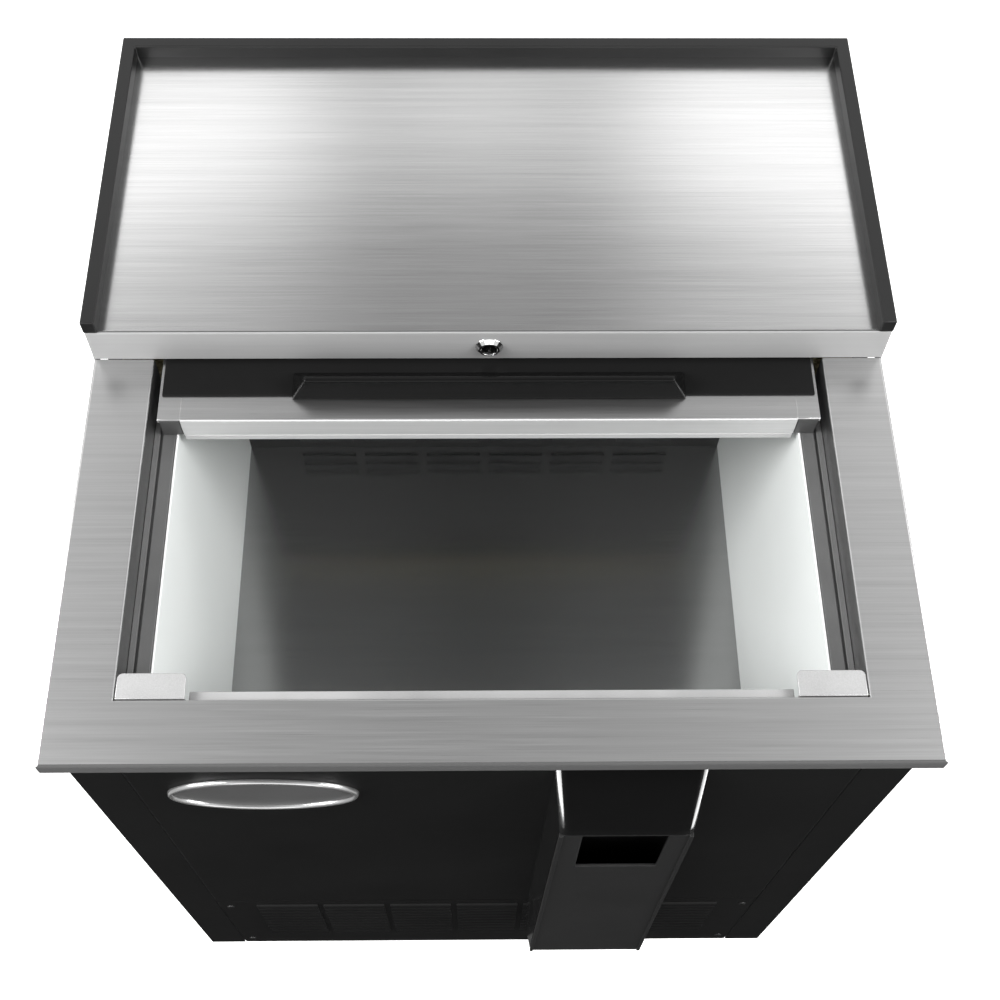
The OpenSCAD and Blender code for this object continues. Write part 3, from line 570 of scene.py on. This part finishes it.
# Geometry Nodes: copies of a part at every point of a mesh
def pointTree():
    tree = bpy.data.node_groups.new("copiesOnPoints", "GeometryNodeTree")
    sizes = [("Geometry", "NodeSocketGeometry"), ("Part", "NodeSocketObject"), ("Finish", "NodeSocketMaterial")]
    for label, kind in sizes:
        tree.interface.new_socket(label, in_out="INPUT", socket_type=kind)
    tree.interface.new_socket("Geometry", in_out="OUTPUT", socket_type="NodeSocketGeometry")
    start = Wire(tree)
    group = tree.nodes.new("NodeGroupInput")
    wires = {label: Wire(tree, group.outputs[label]) for label, kind in sizes}
    part = start.add("GeometryNodeObjectInfo", {}, {"Object": wires["Part"]}, out="Geometry")
    copies = start.add("GeometryNodeInstanceOnPoints", {}, {"Points": wires["Geometry"], "Instance": part})
    real = start.add("GeometryNodeRealizeInstances", {}, {"Geometry": copies})
    finished = start.add("GeometryNodeSetMaterial", {}, {"Geometry": real, "Material": wires["Finish"]})
    end = tree.nodes.new("NodeGroupOutput")
    tree.links.new(finished.socket, end.inputs[0])
    return tree


copiesOnGrid = gridTree()
copiesOnPoints = pointTree()


def fillInputs(modifier, tree, values):
    for socket in tree.interface.items_tree:
        if socket.in_out == "INPUT" and socket.name in values:
            modifier[socket.identifier] = values[socket.name]


def atPoints(name, part, places, finish):  # the part itself is used up
    piece = plainPiece(name, places, [])
    modifier = piece.modifiers.new("copies", "NODES")
    modifier.node_group = copiesOnPoints
    fillInputs(modifier, copiesOnPoints, {"Part": part, "Finish": finishes[finish]})
    freeze(piece)
    bpy.data.objects.remove(part)
    return piece


def onGrid(piece, finish, columns, rows, pitchX, pitchZ, middle):
    modifier = piece.modifiers.new("copies", "NODES")
    modifier.node_group = copiesOnGrid
    fillInputs(modifier, copiesOnGrid, {"Columns": columns, "Rows": rows, "Column Pitch": pitchX,
        "Row Pitch": pitchZ, "Middle": middle, "Finish": finishes[finish]})
    return freeze(piece)


# Counter: one sheet with a turned-down lip outside and a flange inside

counterSet = {"borderFront": 0.0476, "sheet": 0.0012, "lipBend": 0.0022, "mouthBend": 0.0016,
    "lip": 0.0125, "flangeLow": 0.7655, "bendSteps": 4}


def makeCounter(s):
    outer = counterHigh.x
    front = counterLow.y
    mouthFront = front + s["borderFront"]
    stations = [((outer, fasciaY), (mouthX, fasciaY), (1, 0)), ((outer, front), (mouthX, mouthFront), (1, -1)),
        ((-outer, front), (-mouthX, mouthFront), (-1, -1)), ((-outer, fasciaY), (-mouthX, fasciaY), (-1, 0))]
    steps = s["bendSteps"]
    profile = [("outer", 0.0, counterTop - s["lip"])]
    profile += [("outer", s["lipBend"] + u, counterTop + v)
        for u, v in arc((0, -s["lipBend"]), s["lipBend"], 180, 90, steps)]
    profile += [("inner", s["mouthBend"] + u, counterTop + v)
        for u, v in arc((0, -s["mouthBend"]), -s["mouthBend"], -90, 0, steps)]
    profile.append(("inner", 0.0, s["flangeLow"]))
    corners = []
    for outerPoint, innerPoint, way in stations:
        for edge, offset, z in profile:
            base = outerPoint if edge == "outer" else innerPoint
            shift = -offset if edge == "outer" else offset
            corners.append((base[0] + shift * way[0], base[1] + shift * way[1], z))
    count = len(profile)
    faces = [(i * count + k, i * count + k + 1, (i + 1) * count + k + 1, (i + 1) * count + k)
        for i in range(len(stations) - 1) for k in range(count - 1)]
    piece = plainPiece("counter", corners, faces)
    if max(piece.data.polygons, key=lambda face: face.area).normal.z < 0:
        piece.data.flip_normals()
    return soften(smooth(thicken(piece, s["sheet"]), 40), 0.0004, 2, 50)


counterPiece = settle(makeCounter(counterSet), "counterSteel", "counter_frame")
# the counter's front lip and its bend take the near-black dull finish: painted shade
faceFinish(counterPiece, "bendSteel", lambda face: face.normal.y < -0.12 and face.center.y < counterLow.y + 0.004)
print("counter made")


# Deck: a box sheet with rounded bends, open below

deckSet = {"bend": 0.0028, "bendSteps": 4, "sheet": 0.0012, "fasciaLow": 0.8005, "sideLow": 0.7875,
    "sideStart": 0.0004}


def makeDeck(s):
    x, front, back = deckHigh.x, deckLow.y, deckHigh.y
    topZ = deckHigh.z
    low, sideLow, start = s["fasciaLow"], s["sideLow"], front + s["sideStart"]
    corners = []
    for side in (-1, 1):
        corners += [(side * x, front, low), (side * x, front, topZ), (side * x, back, topZ),
            (side * x, back, sideLow), (side * x, start, sideLow), (side * x, start, low)]
    faces = [(0, 1, 7, 6), (1, 2, 8, 7), (2, 3, 9, 8), (0, 5, 4, 3, 2, 1), (6, 7, 8, 9, 10, 11)]
    piece = plainPiece("deck", corners, faces)
    work = bmesh.new()
    work.from_mesh(piece.data)
    bmesh.ops.recalc_face_normals(work, faces=work.faces)
    bends = [edge for edge in work.edges if len(edge.link_faces) == 2]
    bmesh.ops.bevel(work, geom=bends, offset=s["bend"], segments=s["bendSteps"], profile=0.5, affect="EDGES")
    work.to_mesh(piece.data)
    work.free()
    if max(piece.data.polygons, key=lambda face: face.area).normal.z < 0:
        piece.data.flip_normals()
    return smooth(freeze(thicken(piece, s["sheet"])), 40)


deckPiece = settle(makeDeck(deckSet), "deckSteel", "deck_panel")
# the deck's front bend takes the near-black dull finish: painted shade
faceFinish(deckPiece, "bendSteel", lambda face: -0.97 < face.normal.y < -0.25 and face.normal.z > 0.2)
# the fascia face takes a darker, nearly non-metal copy of the deck steel: painted reflection and painted shade
faceFinish(deckPiece, "fasciaSteel", lambda face: face.normal.y < -0.6 and face.center.y < fasciaY + 0.003)
print("deck made")


# Lock: a faceted chrome bezel round the barrel, on the fascia

lockSet = {"facets": 16, "rim": 0.0009, "throat": 0.0064, "depth": 0.0052, "proud": 0.0034, "seat": 0.0006,
    "barrelBack": 0.0026}


def makeBezel(s):
    low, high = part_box("lock_bezel")
    centre = (low + high) / 2
    outer = (high.x - low.x) / 2
    face = -s["proud"]
    profile = [(outer, 0.0002), (outer, -0.0004), (s["throat"] + 1.6 * s["rim"], face),
        (s["throat"] + 0.0002, face), (s["throat"], barrelFace - fasciaY + s["barrelBack"] + s["seat"]),
        (s["throat"], s["depth"])]
    piece = outward(plainPiece("lockBezel", *lathe(profile, s["facets"], (centre.x, fasciaY, centre.z))))
    return soften(smooth(piece, 12), 0.0003, 2, 35)


settle(makeBezel(lockSet), "chrome", "lock_bezel")


# Lid: folded steel skin with wings, black cover plate, and the grip

lidSet = {"sheet": 0.0012, "bend": 0.002, "inset": 0.0024, "hem": 0.0042, "bandDepth": 0.0218, "coverSheet": 0.0016,
    "gripWidth": 0.306, "gripDepth": 0.025, "gripHeight": 0.024, "gripLean": 0.012, "gripRidge": 0.004,
    "gripBefore": 0.0035, "gripSoft": 0.0018, "catchLeft": -0.004, "catchRight": 0.015, "catchBehind": 0.2241,
    "catchThick": 0.003}
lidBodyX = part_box("lid_liner")[1].x
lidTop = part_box("lid_cover")[1].z - lidSet["gripHeight"]


def makeLidSkin(s):
    front, back, wing, low = skinLow.y, skinHigh.y, skinHigh.x, skinLow.z
    sheet, bend = s["sheet"], s["bend"]
    outline = [(front, low)]
    outline += arc((front + bend, lidTop - bend), bend, 180, 90, 5)
    outline += [(back, lidTop), (back, lidTop - sheet)]
    outline += arc((front + bend, lidTop - bend), bend - sheet, 90, 180, 4)
    outline += [(front + sheet, low)]
    solids = [prismAlong("x", outline, -lidBodyX, lidBodyX)]
    for side in (-1, 1):
        xs = sorted((side * (lidBodyX - 0.0002), side * wing))
        solids.append(block((xs[0], front + bend * 0.4, lidTop - sheet), (xs[1], back, lidTop)))
        hem = sorted((side * (wing - sheet), side * wing))
        solids.append(block((hem[0], front + bend * 0.4, lidTop - s["hem"]), (hem[1], back, lidTop - 0.0003)))
    catch = barrelFace + s["catchBehind"]  # the lock's cam turns down behind it
    solids.append(block((s["catchLeft"], catch, lidTop - 0.0003),
        (s["catchRight"], catch + s["catchThick"], skinHigh.z)))
    piece = outward(plainPiece("lidSkin", *joined(*solids)))
    return soften(smooth(piece, 40), 0.0004, 2, 50)


def makeCover(s):
    front = skinLow.y + s["bandDepth"]
    x = skinHigh.x - s["inset"]
    piece = outward(plainPiece("lidCover", *block((-x, front, lidTop), (x, skinHigh.y, lidTop + s["coverSheet"]))))
    return soften(smooth(piece, 30), 0.0005, 3, 30)


def makeGrip(s):
    foot = skinLow.y + s["bandDepth"] - s["gripBefore"]
    half, lean = s["gripWidth"] / 2, s["gripLean"]
    low, high = lidTop + s["coverSheet"] * 0.4, lidTop + s["gripHeight"]
    ridge = foot + s["gripBefore"] / 2
    corners = []
    for side in (-1, 1):
        corners += [(side * half, foot, low), (side * half, foot + s["gripDepth"], low),
            (side * (half - lean), ridge + s["gripRidge"], high), (side * (half - lean), ridge, high)]
    faces = [(0, 1, 2, 3), (4, 5, 6, 7), (0, 3, 7, 4), (3, 2, 6, 7), (2, 1, 5, 6), (1, 0, 4, 5)]
    piece = outward(plainPiece("lidGrip", corners, faces))
    return soften(smooth(piece, 30), s["gripSoft"], 5, 20)


lidSkinPiece = settle(makeLidSkin(lidSet), "lidSteel", "lid_skin")
# the lid's front fold takes a lighter, half-metal copy of the lid steel: painted reflection
faceFinish(lidSkinPiece, "lidFront", lambda face: face.normal.y < -0.5 and face.center.y < skinLow.y + 0.003)
settle(makeCover(lidSet), "coverBlack", "lid_cover")
settle(makeGrip(lidSet), "gripBlack", body="lid", slot="lid_black")
print("lid made")


# Track ledges: a step by the wall, a groove, and the ledge that the lid glides on

trackSet = {"step": 0.0045, "groove": 0.0022, "grooveDepth": 0.003, "beadRoom": 0.0017, "chamfer": 0.0008}


def makeTrack(side, s):
    name = "lidTrackLeft" if side < 0 else "lidTrackRight"
    inner, outer = wellX + s["beadRoom"], mouthX - 0.0002
    low, high = trackLow.z, trackHigh.z
    lip = outer - s["step"]
    cut = s["chamfer"]
    outline = [(inner, low), (inner, high - cut), (inner + cut, high), (lip - s["groove"], high),
        (lip - s["groove"], high - s["grooveDepth"]), (lip, high - s["grooveDepth"]), (lip, high),
        (outer, high), (outer, low)]
    solid = prismAlong("y", [(side * x, z) for x, z in outline], trackLow.y, trackHigh.y)
    return soften(smooth(outward(plainPiece(name, *solid)), 30), 0.0004, 2, 40)


for side, node in ((-1, "lid_track_left"), (1, "lid_track_right")):
    settle(makeTrack(side, trackSet), "trackGrey", node)


# Well: white walls whose top edge is rolled over into a bead beside the track

linerSet = {"roll": 0.0008, "rise": 0.0004}


def makeLiner(side, s):
    name = "linerLeft" if side < 0 else "linerRight"
    low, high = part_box("liner_right")
    top = trackHigh.z + s["rise"]
    outline = [(low.x, low.z), (low.x, top - s["roll"])]
    outline += arc((low.x + s["roll"], top - s["roll"]), s["roll"], 180, 0, 6)
    outline += [(low.x + 2 * s["roll"], trackLow.z), (high.x, trackLow.z - s["rise"]), (high.x, low.z)]
    solid = prismAlong("y", [(side * x, z) for x, z in outline], low.y, high.y)
    return soften(smooth(outward(plainPiece(name, *solid)), 30), 0.0003, 2, 50)


for side, node in ((-1, "liner_left"), (1, "liner_right")):
    wallPiece = settle(makeLiner(side, linerSet), "linerWhite", node)
    # the top of the rolled bead takes the lighter copy of the liner white: painted highlight
    faceFinish(wallPiece, "linerEdge", lambda face: face.center.z > trackHigh.z - 0.001)
print("tracks and well walls made")


# Louvres: a pressed hood over every slot

louvreSet = {"groups": 7, "slots": 10, "gap": 0.008, "margin": 0.037, "slotHeight": 0.005, "slotLow": 0.062,
    "slotTop": 0.016, "out": 0.0034, "over": 0.0012, "sheet": 0.0007, "steps": 5, "plate": 0.0012, "bury": 0.0002}
coverSet = {"groups": 6, "slots": 3, "gap": 0.013, "margin": 0.0535, "slotHeight": 0.005, "slotLow": 0.014,
    "pitch": 0.018, "out": 0.003, "over": 0.0012, "sheet": 0.0007, "steps": 5, "plate": 0.0012, "bury": 0.0002}


def makeLouvre(name, length, s, way):  # way is -1 where the panel faces the front
    reach, tall = s["out"], s["slotHeight"] + s["over"]
    half = length / 2 + s["over"]
    curve = [(way * reach * math.sin(i * math.pi / 2 / s["steps"]),
        tall * (math.cos(i * math.pi / 2 / s["steps"]) - 0.5)) for i in range(s["steps"] + 1)]
    corners = [(x, y, z) for x in (-half, half) for y, z in curve]
    count = len(curve)
    faces = [(i, i + 1, count + i + 1, count + i) for i in range(count - 1)]
    foot = len(corners)
    corners += [(-half, 0.0, -tall / 2), (half, 0.0, -tall / 2)]
    faces += [tuple(range(count)) + (foot,), tuple(range(count, 2 * count)) + (foot + 1,)]
    piece = plainPiece(name, corners, faces)
    work = bmesh.new()
    work.from_mesh(piece.data)
    bmesh.ops.recalc_face_normals(work, faces=work.faces)
    work.to_mesh(piece.data)
    work.free()
    return smooth(freeze(thicken(piece, s["sheet"])), 40)


def slottedPlate(name, s, half, low, high, face, way):  # a sheet of cells, with the slots' cells left out
    pitch = (2 * (half - s["margin"]) + s["gap"]) / s["groups"]
    tall = high.z - low.z
    rise = s.get("pitch") or (tall - s["slotLow"] - s["slotTop"] - s["slotHeight"]) / (s["slots"] - 1)
    xs, zs = [low.x], [low.z]
    for k in range(s["groups"]):
        left = -half + s["margin"] + k * pitch
        xs += [left, left + pitch - s["gap"]]
    for k in range(s["slots"]):
        foot = low.z + s["slotLow"] + k * rise
        zs += [foot, foot + s["slotHeight"]]
    xs.append(high.x)
    zs.append(high.z)
    corners = [(x, face, z) for z in zs for x in xs]
    count = len(xs)
    faces = [(j * count + i, j * count + i + 1, (j + 1) * count + i + 1, (j + 1) * count + i)
        for j in range(len(zs) - 1) for i in range(count - 1) if not (i % 2 and j % 2)]
    piece = plainPiece(name, corners, faces)
    if piece.data.polygons[0].normal.y * way < 0:
        piece.data.flip_normals()
    return smooth(freeze(thicken(piece, s["plate"])), 40)


def louvreField(name, s, half, low, high, face, way, finish):
    pitch = (2 * (half - s["margin"]) + s["gap"]) / s["groups"]
    rise = s.get("pitch") or (high.z - low.z - s["slotLow"] - s["slotTop"] - s["slotHeight"]) / (s["slots"] - 1)
    middleZ = low.z + s["slotLow"] + s["slotHeight"] / 2 + rise * (s["slots"] - 1) / 2
    louvre = makeLouvre(name, pitch - s["gap"], s, way)
    place = (0.0, face - way * s["bury"], middleZ)
    return onGrid(louvre, finish, s["groups"], s["slots"], pitch, rise, place)


# settings, half width, box, outer face, way
frontField = (louvreSet, grilleHigh.x, grilleLow, grilleHigh, grilleLow.y, -1)
rearField = (louvreSet, grilleHigh.x, rearLow, rearHigh, rearHigh.y, 1)
wellField = (coverSet, coverHigh.x, coverLow, coverHigh, coverLow.y, -1)
for name, field, finish, slot in (
        ("frontLouvres", frontField, "cabinetBlack", "cabinet_black"),
        ("rearLouvres", rearField, "cabinetBlack", "cabinet_black"),
        ("wellLouvres", wellField, "wellBack", "well_steel")):
    settle(louvreField(name, *field, finish), finish, body="cabinet", slot=slot)
for name, field, finish, node in (
        ("frontGrille", frontField, "cabinetBlack", "front_grille"),
        ("rearGrille", rearField, "cabinetBlack", "rear_grille"),
        ("wellBack", wellField, "wellBack", "evaporator_cover")):
    settle(slottedPlate(name, *field), finish, node)
print("louvres made")


# Seals behind the seams at the front corners

sealSet = {"inside": 0.002, "outside": 0.0026, "front": 0.0013, "back": 0.0021, "foot": 0.001}


def makeSeals(s):
    solids = []
    for side in (-1, 1):
        xs = sorted((side * (frontHigh.x - s["inside"]), side * (frontHigh.x + s["outside"])))
        solids.append(block((xs[0], frontLow.y + s["front"], grilleLow.z + s["foot"]),
            (xs[1], frontLow.y + s["back"], frontHigh.z)))
    return outward(plainPiece("cornerSeals", *joined(*solids)))


settle(makeSeals(sealSet), "rubberBlack", body="cabinet", slot="cabinet_black")


# Badge: a blank domed oval in a chrome ring

badgeSet = {"steps": 96, "ring": 0.0044, "ringHeight": 0.0036, "dome": 0.0014, "faceDepth": 0.0012, "under": 0.6,
    "shares": [0.25, 0.5, 0.7, 0.85, 1.0]}


def makeBadge(s):
    low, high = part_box("badge")
    centre = ((low.x + high.x) / 2, high.y, (low.z + high.z) / 2)
    wide, tall = (high.x - low.x) / 2, (high.z - low.z) / 2
    ring = [(0.0, 0.0003)]
    ring += [(u, -v) for u, v in arc((s["ring"] / 2, 0.0002), s["ring"] / 2, 180, 0, 10)]
    lift = s["ringHeight"] / (s["ring"] / 2)
    sections = [(inset, height * lift) for inset, height in ring[1:]]
    corners, faces = [], []
    for i in range(s["steps"]):
        turn = 2 * math.pi * i / s["steps"]
        for inset, height in sections:
            corners.append((centre[0] + (wide - inset) * math.cos(turn), centre[1] + height,
                centre[2] + (tall - inset) * math.sin(turn)))
    count = len(sections)
    for i in range(s["steps"]):
        j = (i + 1) % s["steps"]
        faces += [(i * count + k, i * count + k + 1, j * count + k + 1, j * count + k) for k in range(count - 1)]
        faces.append((i * count, j * count, j * count + count - 1, i * count + count - 1))
    ringPiece = smooth(outward(plainPiece("badgeRing", corners, faces)), 50)
    rim, shares = s["ring"] * s["under"], s["shares"]
    corners, faces = [(centre[0], centre[1] - s["dome"] - s["faceDepth"], centre[2])], []
    for share in shares:
        for i in range(s["steps"]):
            turn = 2 * math.pi * i / s["steps"]
            corners.append((centre[0] + (wide - rim) * share * math.cos(turn),
                centre[1] - s["faceDepth"] - s["dome"] * (1 - share ** 2),
                centre[2] + (tall - rim) * share * math.sin(turn)))
    for i in range(s["steps"]):
        j = (i + 1) % s["steps"]
        faces.append((0, 1 + i, 1 + j))
        for k in range(len(shares) - 1):
            a, b = 1 + k * s["steps"], 1 + (k + 1) * s["steps"]
            faces.append((a + i, b + i, b + j, a + j))
    face = plainPiece("badgeFace", corners, faces)
    if face.data.polygons[0].normal.y > 0:
        face.data.flip_normals()
    return ringPiece, smooth(thicken(face, s["faceDepth"]), 60)


badgeRing, badgeFace = makeBadge(badgeSet)
settle(badgeRing, "badgeRing", "badge")
settle(badgeFace, "badgeFace", body="cabinet", slot="badge_chrome")


# Cap catcher: glossy housing with a sloping hood, and the satin plate of the bin

catcherSet = {"wall": 0.0025, "foot": 0.111, "top": 0.099, "splay": 0.005, "lip": 0.014, "hoodSoft": 0.009,
    "seam": 0.0005, "plate": 0.0025, "windowWidth": 0.064, "windowHeight": 0.092, "windowDrop": 0.002,
    "rim": 0.0032, "rimHeight": 0.0012, "trayWall": 0.002, "trayGap": 0.003, "trayDrop": 0.0065}
catcherX = (binLow.x + binHigh.x) / 2
plateTop = binHigh.z


def makeHousing(s):
    back, front = housingHigh.y, housingLow.y
    low, roof = housingLow.z, housingHigh.z
    lipLow = plateTop + s["seam"]
    narrow, foot = s["top"] / 2, s["foot"] / 2
    behind = binLow.y + 0.003
    corners = []
    for side in (-1, 1):
        corners += [(catcherX + side * (foot + s["splay"]), back, low),
            (catcherX + side * (narrow + s["splay"]), back, roof),
            (catcherX + side * narrow, front, lipLow + s["lip"]), (catcherX + side * narrow, front, lipLow),
            (catcherX + side * narrow, behind, lipLow), (catcherX + side * foot, behind, low)]
    faces = [(0, 1, 2, 3, 4, 5), (6, 11, 10, 9, 8, 7), (1, 7, 8, 2), (2, 8, 9, 3), (3, 9, 10, 4)]
    piece = plainPiece("catcherHousing", corners, faces)
    work = bmesh.new()
    work.from_mesh(piece.data)
    bmesh.ops.recalc_face_normals(work, faces=work.faces)
    work.verts.ensure_lookup_table()

    def edgeOf(a, b):
        return next(e for e in work.verts[a].link_edges if e.other_vert(work.verts[a]).index == b)

    sides = [edgeOf(1, 2), edgeOf(7, 8), edgeOf(2, 3), edgeOf(8, 9)]
    bmesh.ops.bevel(work, geom=sides, offset=s["hoodSoft"], segments=6, profile=0.5, affect="EDGES")
    work.to_mesh(piece.data)
    work.free()
    if max(piece.data.polygons, key=lambda f: -f.normal.y * f.area).normal.y > 0:
        piece.data.flip_normals()
    return smooth(freeze(thicken(piece, s["wall"])), 40)


def makePlate(s):
    front, back = binLow.y, binLow.y + s["plate"]
    half = s["windowWidth"] / 2
    top, low = plateTop, binLow.z
    windowTop, windowLow = top - s["windowDrop"], top - s["windowDrop"] - s["windowHeight"]
    foot, head = s["foot"] / 2, s["top"] / 2
    corners, faces = [], []
    for y in (front, back):
        corners += [(catcherX + u, y, z) for u, z in ((-foot, low), (foot, low), (head, top), (-head, top))]
        corners += [(catcherX + u, y, z) for u, z in ((-half, windowLow), (half, windowLow),
            (half, windowTop), (-half, windowTop))]
    for k in range(4):
        j = (k + 1) % 4
        faces += [(k, j, 4 + j, 4 + k), (8 + k, 12 + k, 12 + j, 8 + j), (k, 8 + k, 8 + j, j),
            (4 + k, 4 + j, 12 + j, 12 + k)]
    solids = [(corners, faces)]
    for side in (-1, 1):  # a narrow raised lip down each side
        ends = [(foot, low), (foot - s["rim"], low), (head - s["rim"], top), (head, top)]
        outline = [(catcherX + side * u, z) for u, z in ends]
        solids.append(prismAlong("y", outline, front - s["rimHeight"], front + 0.0004))
    piece = outward(plainPiece("catcherPlate", *joined(*solids)))
    return soften(smooth(piece, 30), 0.0006, 3, 30)


def makeTray(s):
    half = s["top"] / 2 - s["trayGap"]
    low = Vector((catcherX - half, binLow.y + s["plate"] - 0.0001, binLow.z + 0.002))
    high = Vector((catcherX + half, binHigh.y, plateTop - s["windowDrop"] - s["windowHeight"] - s["trayDrop"]))
    x0, x1, y0, y1, z0, z1 = low.x, high.x, low.y, high.y, low.z, high.z
    corners = [(x0, y0, z0), (x1, y0, z0), (x1, y1, z0), (x0, y1, z0),
        (x0, y0, z1), (x1, y0, z1), (x1, y1, z1), (x0, y1, z1)]
    faces = [(0, 3, 2, 1), (0, 1, 5, 4), (1, 2, 6, 5), (2, 3, 7, 6), (3, 0, 4, 7)]
    piece = plainPiece("catcherTray", corners, faces)
    return soften(smooth(thicken(piece, s["trayWall"]), 30), 0.0006, 2, 30)


housingPiece = settle(makeHousing(catcherSet), "glossBlack", "opener_housing")
hoodOnly = bpy.data.collections.new("hoodOnly")
hoodOnly.objects.link(housingPiece)
for name in studio["hoodBoxes"]:
    bpy.data.objects[name].light_linking.receiver_collection = hoodOnly
settle(makePlate(catcherSet), "binGrey", "cap_bin")
settle(makeTray(catcherSet), "binGrey", body="bin", slot="catcher_grey")
print("cap catcher made")


# Screws: pan heads with a cross recess, each copied to its places

screwSet = {"radius": 0.0035, "head": 0.0016, "steps": 20, "slot": 0.0009, "reach": 0.0022, "sink": 0.0009,
    "frontInset": 0.01, "frontRows": (0.022, 0.178), "backInset": 0.012, "backRows": (0.022, 0.178, 0.24, 0.44, 0.64)}


def makeScrewHead(name, s, way):
    profile = [(s["radius"], 0.0), (s["radius"], way * s["head"] * 0.35)]
    for i in range(1, 5):
        turn = i * math.pi / 2 / 4
        profile.append((s["radius"] * math.cos(turn * 0.92), way * s["head"] * (0.35 + 0.65 * math.sin(turn))))
    profile[-1] = (s["radius"] * 0.13, way * s["head"])
    head = outward(plainPiece(name, *lathe(profile, s["steps"], (0.0, 0.0, 0.0))))
    tip, floor = way * s["head"] * 1.5, way * (s["head"] - s["sink"])
    near, far = sorted((tip, floor))
    long, thin = s["reach"], s["slot"] / 2
    cutters = [outward(plainPiece("cutter", *block((-u, near, -v), (u, far, v))))
        for u, v in ((long, thin), (thin, long))]
    for tool in cutters:
        cut = head.modifiers.new("recess", "BOOLEAN")
        cut.operation = "DIFFERENCE"
        cut.solver = "EXACT"
        cut.object = tool
    freeze(head)
    for tool in cutters:
        bpy.data.objects.remove(tool)
    return smooth(head, 35)


def screwPlaces(x, y, rows):
    return [(side * x, y, grilleLow.z + z) for side in (-1, 1) for z in rows]


frontPlaces = screwPlaces(grilleHigh.x - screwSet["frontInset"], grilleLow.y, screwSet["frontRows"])
backPlaces = screwPlaces(backX - screwSet["backInset"], backFace, screwSet["backRows"])
frontScrews = atPoints("frontScrews", makeScrewHead("screwHead", screwSet, -1), frontPlaces, "screwBlack")
settle(frontScrews, "screwBlack", "panel_screws")
backScrews = atPoints("backScrews", makeScrewHead("screwHead", screwSet, 1), backPlaces, "screwBlack")
settle(backScrews, "screwBlack", body="cabinet", slot="screw_black")
print("screws made")


# Everything else starts as its own shape with softened edges

edgeSet = {  # finish, edge radius, segments
    "side_panel_left": ("cabinetBlack", 0.0005, 2),
    "side_panel_right": ("cabinetBlack", 0.0005, 2),
    "front_panel": ("cabinetBlack", 0.0005, 2),
    "rear_panel": ("galvanised", 0.0004, 2),
    "base_pan": ("galvanised", 0.0008, 2),
    "foam_blocks": ("foam", 0.002, 2),
    "liner_front": ("linerWhite", 0.0004, 2),
    "liner_floor": ("floorSteel", 0.0004, 2),
    "evaporator_coil": ("finAluminium", 0.001, 2),
    "evaporator_fan_frame": ("fanBlack", 0.0008, 2),
    "evaporator_fan_blade": ("fanWhite", 0.0006, 2),
    "gallery_rail": ("railBlack", 0.0012, 3),
    "lock_barrel": ("darkChrome", 0.0003, 2),
    "front_trim": ("trimSteel", 0.0004, 2),
    "corner_keepers": ("trimSteel", 0.0005, 2),
    "bottle_opener": ("openerSteel", 0.0008, 2),
    "lid_core": ("foam", 0.001, 2),
    "lid_liner": ("lidWhite", 0.0015, 3),
    "lid_glides": ("glideGrey", 0.001, 2),
    "compressor": ("machineBlack", 0.0015, 3),
    "compressor_mounts": ("rubberBlack", 0.001, 2),
    "condenser_coil": ("finAluminium", 0.001, 2),
    "condenser_fan_frame": ("fanBlack", 0.0008, 2),
    "condenser_fan_blade": ("fanWhite", 0.0006, 2),
    "refrigerant_lines": ("copperTube", 0.0003, 1),
    "drain_pan": ("galvanised", 0.0008, 2),
    "control_box": ("controlGrey", 0.0015, 3),
    "thermostat_knob": ("knobBlack", 0.0008, 3),
    "cord_gland": ("knobBlack", 0.0006, 2),
    "caster_plates": ("casterZinc", 0.0008, 2),
}
for number in (1, 2, 3, 4):
    edgeSet["caster_fork_%d" % number] = ("casterZinc", 0.0006, 2)
    edgeSet["caster_wheel_%d" % number] = ("wheelRubber", 0.0012, 3)
for number in (1, 2):
    edgeSet["brake_pedal_%d" % number] = ("pedalRed", 0.0008, 2)

for node, (finish, width, segments) in edgeSet.items():
    piece = settle(edged(node, width, segments), finish, node)
    if node == "lock_barrel":  # its face lies inside the bezel
        for point in piece.data.vertices:
            if point.co.y < barrelFace + 0.002:
                point.co.y += lockSet["barrelBack"]
print("shared pieces made,", len(edgeSet))


# Floor

def makeFloor(s):
    half = s["floorSize"] / 2
    floor = plainPiece("studioFloor", [(-half, -half, 0), (half, -half, 0), (half, half, 0), (-half, half, 0)],
        [(0, 1, 2, 3)])
    floor.data.materials.append(floorFinish(s))
    floor.visible_glossy = False  # dark gloss parts don't mirror the white floor


makeFloor(studio)
